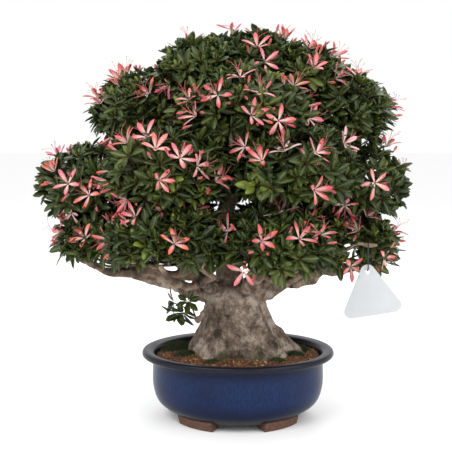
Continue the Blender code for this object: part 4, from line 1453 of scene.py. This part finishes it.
class BONSAI_OT_leaves(bpy.types.Operator):
    """Leaf rosettes of every pad, and the shoots that carry them"""

    bl_idname = "bonsai.leaves"
    bl_label = "Leaves"

    def execute(self, context):
        look = context.scene.bonsai_leaf
        finish = leaf_finish(look)
        twigs = TwigBatch()
        blooms = [point for _, point, _ in bloom_places()]
        for number, pad in enumerate(PADS):
            chance = random.Random(100 + number)
            batch = BladeBatch(LEAF_BLADE)
            shoots = self.branch_out(pad, twigs, chance)
            self.fill_pad(pad, batch, twigs, shoots, blooms, chance, look)
            batch.make_piece("foliage_" + pad.name, finish, "leaves_" + pad.name)
        self.make_sprig(twigs, finish, look)
        shoots = new_object("fine_shoots", twigs.points, twigs.faces, twig_finish())
        settle(shoots)
        return {"FINISHED"}

    def branch_out(self, pad, twigs, chance):
        """Thin branches that spread from the limb's end through the pad."""
        tip, _ = limb_end(pad)
        centre = Vector(pad.centre)
        ends = []
        for index in range(SHOOTS_LOW if is_low(pad) else SHOOTS):
            way = random_way(chance)
            low = index % 3 == 0 or index >= SHOOTS
            way.z = -0.55 if low else way.z * 0.6 + 0.05
            reach = chance.uniform(0.60, 0.90) if low else chance.uniform(0.35, 0.72)
            goal = centre + Vector([way[i] * pad.radii[i] * reach for i in range(3)])
            middle = tip.lerp(goal, 0.5) + random_way(chance) * 0.010 - UP * 0.004
            route = [Vector(p) for p in smooth_values([tip, middle, goal], 3)]
            twigs.add(route, np.linspace(*BRANCH_RADII, len(route)))
            ends += route[2:] if index < SHOOTS else []
        return ends

    def fill_pad(self, pad, batch, twigs, shoots, blooms, chance, look):
        """Rosettes at several depths all over the pad."""
        placed = []
        wanted = look.rosettes
        lowest = LOWEST_UNDER if is_low(pad) else LOWEST_ROSETTE
        fresh = YOUNG_SHARE_LOW if is_low(pad) else YOUNG_SHARE
        for _ in range(wanted * 14):
            if len(placed) >= wanted:
                break
            depth = chance.choice(ROSETTE_DEPTHS)
            point, normal = random_skin_point(pad, chance, depth)
            if normal.z < lowest or buried(pad, point, ROSETTE_BURIED) or near_tag(point):
                continue
            near = OUTER_SPACING if depth > OUTER_DEPTH else INNER_SPACING
            if any((point - other).length < near for other in placed):
                continue
            if any((point - other).length < BLOOM_CLEARANCE for other in blooms):
                continue
            axis = (normal * 0.65 + UP * 0.50 + jitter(chance, 0.40)).normalized()
            young = 0.30 if chance.random() < fresh else 0.0
            add_rosette(batch, point, axis, chance, look, 1.0, young)
            placed.append(point)
            root = min(shoots, key=lambda end: (end - point).length_squared)
            bend = root.lerp(point, 0.55) - UP * 0.003
            twigs.add([root, bend, point], SHOOT_RADII)

    def make_sprig(self, twigs, finish, look):
        """The small sprig that hangs beside the trunk, with a rosette at each of its tips."""
        chance = random.Random(77)
        batch = BladeBatch(LEAF_BLADE)
        tip, _ = limb_end(SPRIG)
        centre = Vector(SPRIG.centre)
        for way in SPRIG_WAYS:
            normal = Vector(way).normalized()
            point = centre + Vector([normal[i] * SPRIG.radii[i] * 0.8 for i in range(3)])
            axis = (normal - UP * 0.35).normalized()
            add_rosette(batch, point, axis, chance, look, 0.92, 0.05)
            twigs.add([tip, tip.lerp(point, 0.5) + UP * 0.004, point], SPRIG_RADII)
        batch.make_piece("foliage_trunk_sprig", finish, "leaves_trunk_sprig")


class BONSAI_OT_blooms(bpy.types.Operator):
    """Narrow-petalled flowers with their long stamens"""

    bl_idname = "bonsai.blooms"
    bl_label = "Blooms"

    def execute(self, context):
        look = context.scene.bonsai_bloom
        petal = petal_finish(look)
        thread = stamen_finish()
        by_pad = {pad.name: [] for pad in PADS}
        for pad, point, normal in bloom_places():
            by_pad[pad.name].append((point, normal))
        threads = []
        for number, (name, places) in enumerate(by_pad.items()):
            chance = random.Random(300 + number)
            batch = BladeBatch(PETAL_BLADE)
            for point, normal in places:
                self.add_bloom(batch, threads, point, normal, chance, look)
            batch.make_piece("petals_" + name, petal, "blooms_" + name)
        settle(self.thread_mesh(threads, thread))
        return {"FINISHED"}

    def add_bloom(self, batch, threads, point, normal, chance, look):
        """Five strap petals, four stamens and a longer pistil."""
        axis = (normal * 0.9 + UP * 0.25 + jitter(chance, 0.5)).normalized()
        centre = point + axis * BLOOM_FOOT
        start = chance.uniform(0, math.tau)
        own = chance.choice(BLOOM_TONES) + chance.uniform(-0.04, 0.04)
        openness = chance.uniform(0.60, 1.35)
        for index in range(5):
            turn = start + math.tau * index / 5 + chance.uniform(-0.14, 0.14)
            spread = openness + chance.uniform(-0.18, 0.18)
            out, along, up = leaning(axis, turn, spread)
            size = chance.uniform(0.88, 1.10)
            batch.add(centre + out * 0.0008 - axis * BLOOM_FOOT, along, up, look.petal_length * size,
                      look.petal_width * chance.uniform(0.85, 1.15), chance.uniform(0.1, 0.4),
                      chance.uniform(-0.34, 0.16), own)
        for index in range(5):
            turn = start + math.tau * (index + 0.5) / 5 + chance.uniform(-0.3, 0.3)
            out = square_to(axis, turn)
            length = STAMEN_LENGTH * chance.uniform(0.85, 1.2) if index else PISTIL_LENGTH
            spread = chance.uniform(0.25, 0.75)
            end = centre + (axis * math.cos(spread) + out * math.sin(spread)) * length
            middle = centre + (axis * 0.55 + out * math.sin(spread) * 0.25) * length
            threads.append((centre - axis * BLOOM_FOOT, middle, end + UP * STAMEN_RISE))
        if not near_tag(point):
            self.add_buds(batch, point, normal, chance, look)

    def add_buds(self, batch, point, normal, chance, look):
        """One to three slim buds that stand beside a flower, petals still rolled together."""
        for _ in range(chance.choice((1, 2, 2, 3))):
            turn = random_way(chance)
            aside = (turn - normal * turn.dot(normal)).normalized()
            foot = point + aside * chance.uniform(0.012, 0.019) - normal * 0.006
            axis = (normal + aside * chance.uniform(0.0, 0.9)).normalized()
            length = look.petal_length * chance.uniform(0.50, 0.90)
            own = chance.choice(BUD_TONES)
            for index in range(3):
                up = square_to(axis, math.tau * index / 3)
                batch.add(foot + up * 0.0006, (axis + up * 0.06).normalized(), -up, length,
                          look.petal_width * BUD_WIDTH, 0.45, 0.05, own)

    def thread_mesh(self, threads, finish):
        """All stamens and pistils as thin curved threads with small knobs."""
        points, faces, shade = [], [], []
        sides = 3
        low, high = CAD_BOX
        for start, middle, end in threads:
            bends = [Vector([min(max(p[i], low[i] + STAMEN_CLEARANCE), high[i] - STAMEN_CLEARANCE)
                             for i in range(3)]) for p in (start, middle, end)]
            end = bends[-1]
            route = [Vector(p) for p in smooth_values(bends, 3)]
            way = (route[-1] - route[-2]).normalized()
            route += [end + way * 0.0004, end + way * 0.0011, end + way * 0.0016]
            count = len(route)
            radii = [STAMEN_RADIUS] * (count - 3) + [0.0006, 0.00065, 0.0003]
            first = len(points)
            points += [tuple(p) for p in tube_points(route, radii, sides)]
            for index in range(count):
                along = index / (count - 4) * 0.92 if index < count - 3 else 1.0
                shade += [(0.5, along, 0.0, 1.0)] * sides
            faces += fans([[first + index for index in face] for face in ring_faces(count, sides)])
        return block_mesh("stamens", points, faces, shade, finish)


class BONSAI_OT_tag(bpy.types.Operator):
    """The plain white tag and its black tie"""

    bl_idname = "bonsai.tag"
    bl_label = "Tag"

    TURN_STEPS = 12

    def execute(self, context):
        tag = self.make_card(plastic_finish("tag_plastic", (0.50, 0.52, 0.53), 0.5))
        settle(tag, "tag")
        tie = self.make_tie(plastic_finish("tie_strand", (0.015, 0.015, 0.016), 0.5))
        settle(tie, "tag_tie")
        return {"FINISHED"}

    def make_card(self, finish):
        """A triangular card with round corners, an eased edge and a round hole."""
        ring = TAG_SIDE / math.sqrt(3) - TAG_CORNER
        outline = []
        for corner in range(3):
            middle = math.radians(90 + 120 * corner)
            for step in range(self.TURN_STEPS + 1):
                turn = middle + math.radians(-60 + 10 * step)
                outline.append((ring * math.cos(middle) + TAG_CORNER * math.cos(turn),
                                ring * math.sin(middle) + TAG_CORNER * math.sin(turn)))
        drop = ring - TAG_HOLE_DROP
        sides = len(outline)
        turns = [math.atan2(z - drop, x) for x, z in outline]
        points = []
        half = TAG_THICK / 2
        ease = TAG_EASE
        for y, grow in ((-half, -ease), (-half + ease, 0), (half - ease, 0), (half, -ease)):
            for x, z in outline:
                length = math.hypot(x, z)
                share = (length + grow) / length
                points.append((x * share, y, z * share - drop))
        for y in (half, -half):
            for turn in turns:
                points.append((TAG_HOLE_RADIUS * math.cos(turn), y,
                               TAG_HOLE_RADIUS * math.sin(turn)))
        faces = ring_faces(6, sides, loop=True)
        card = new_object("hang_tag", points, faces, finish)
        face_outward(card)
        card.data.shade_smooth()
        card.data.set_sharp_from_angle(angle=math.radians(30))
        card.data.transform(Matrix.Translation((TAG_X, TAG_Y, TAG_HOLE_Z))
                            @ Matrix.Rotation(TAG_TURN, 4, "Y"))
        return card

    def make_tie(self, finish):
        """A thin closed strand round the twig and through the hole."""
        low = TAG_HOLE_Z + TAG_HOLE_RADIUS - TIE_RADIUS - TIE_GAP + TIE_BEND
        centres = []
        for first, middle in ((math.pi, low), (0, TAG_TWIG_Z)):
            for step in range(self.TURN_STEPS + 1):
                turn = first + math.pi * step / self.TURN_STEPS
                centres.append((0, TIE_BEND * math.cos(turn), middle + TIE_BEND * math.sin(turn)))
        sides = 10
        points = []
        count = len(centres)
        for index, centre in enumerate(centres):
            along = (Vector(centres[(index + 1) % count]) - Vector(centres[index - 1])).normalized()
            beside = along.cross(Vector((1, 0, 0)))
            for side in range(sides):
                turn = math.tau * side / sides
                offset = Vector((1, 0, 0)) * math.cos(turn) + beside * math.sin(turn)
                points.append(Vector(centre) + offset * TIE_RADIUS + Vector((TAG_X, TAG_Y, 0)))
        return new_object("tie_loop", points, ring_faces(count, sides, loop=True), finish)


class BONSAI_PT_panel(bpy.types.Panel):
    """Settings and steps of the bonsai"""

    bl_idname = "BONSAI_PT_panel"
    bl_label = "Azalea Bonsai"
    bl_space_type = "VIEW_3D"
    bl_region_type = "UI"
    bl_category = "Bonsai"

    def draw(self, context):
        for name, kind in SETTINGS:
            box = self.layout.box()
            look = getattr(context.scene, name)
            for prop in kind.__annotations__:
                box.prop(look, prop)
        for step in STEPS:
            self.layout.operator(step.bl_idname)


SETTINGS = (
    ("bonsai_leaf", LeafSettings),
    ("bonsai_bloom", BloomSettings),
    ("bonsai_wood", WoodSettings),
    ("bonsai_pot", PotSettings),
    ("bonsai_stage", StageSettings),
)
STEPS = (
    BONSAI_OT_stage,
    BONSAI_OT_pot,
    BONSAI_OT_soil,
    BONSAI_OT_wood,
    BONSAI_OT_leaves,
    BONSAI_OT_blooms,
    BONSAI_OT_tag,
)
CLASSES = tuple(kind for _, kind in SETTINGS) + STEPS + (BONSAI_PT_panel,)


def register():
    """Make the settings, steps and panel known to Blender."""
    for kind in CLASSES:
        bpy.utils.register_class(kind)
    for name, kind in SETTINGS:
        setattr(bpy.types.Scene, name, PointerProperty(type=kind))


def unregister():
    """Take the settings, steps and panel away again."""
    for name, _ in SETTINGS:
        delattr(bpy.types.Scene, name)
    for kind in reversed(CLASSES):
        bpy.utils.unregister_class(kind)


def main():
    """Build every piece in order and note the box of the frame and of the dressed tree."""
    register()
    for step in STEPS:
        group, name = step.bl_idname.split(".")
        getattr(getattr(bpy.ops, group), name)()
    boxes = {"cad": [list(corner) for corner in CAD_BOX],
             "visual": [list(corner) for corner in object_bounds()]}


if __name__ == "__main__":
    main()
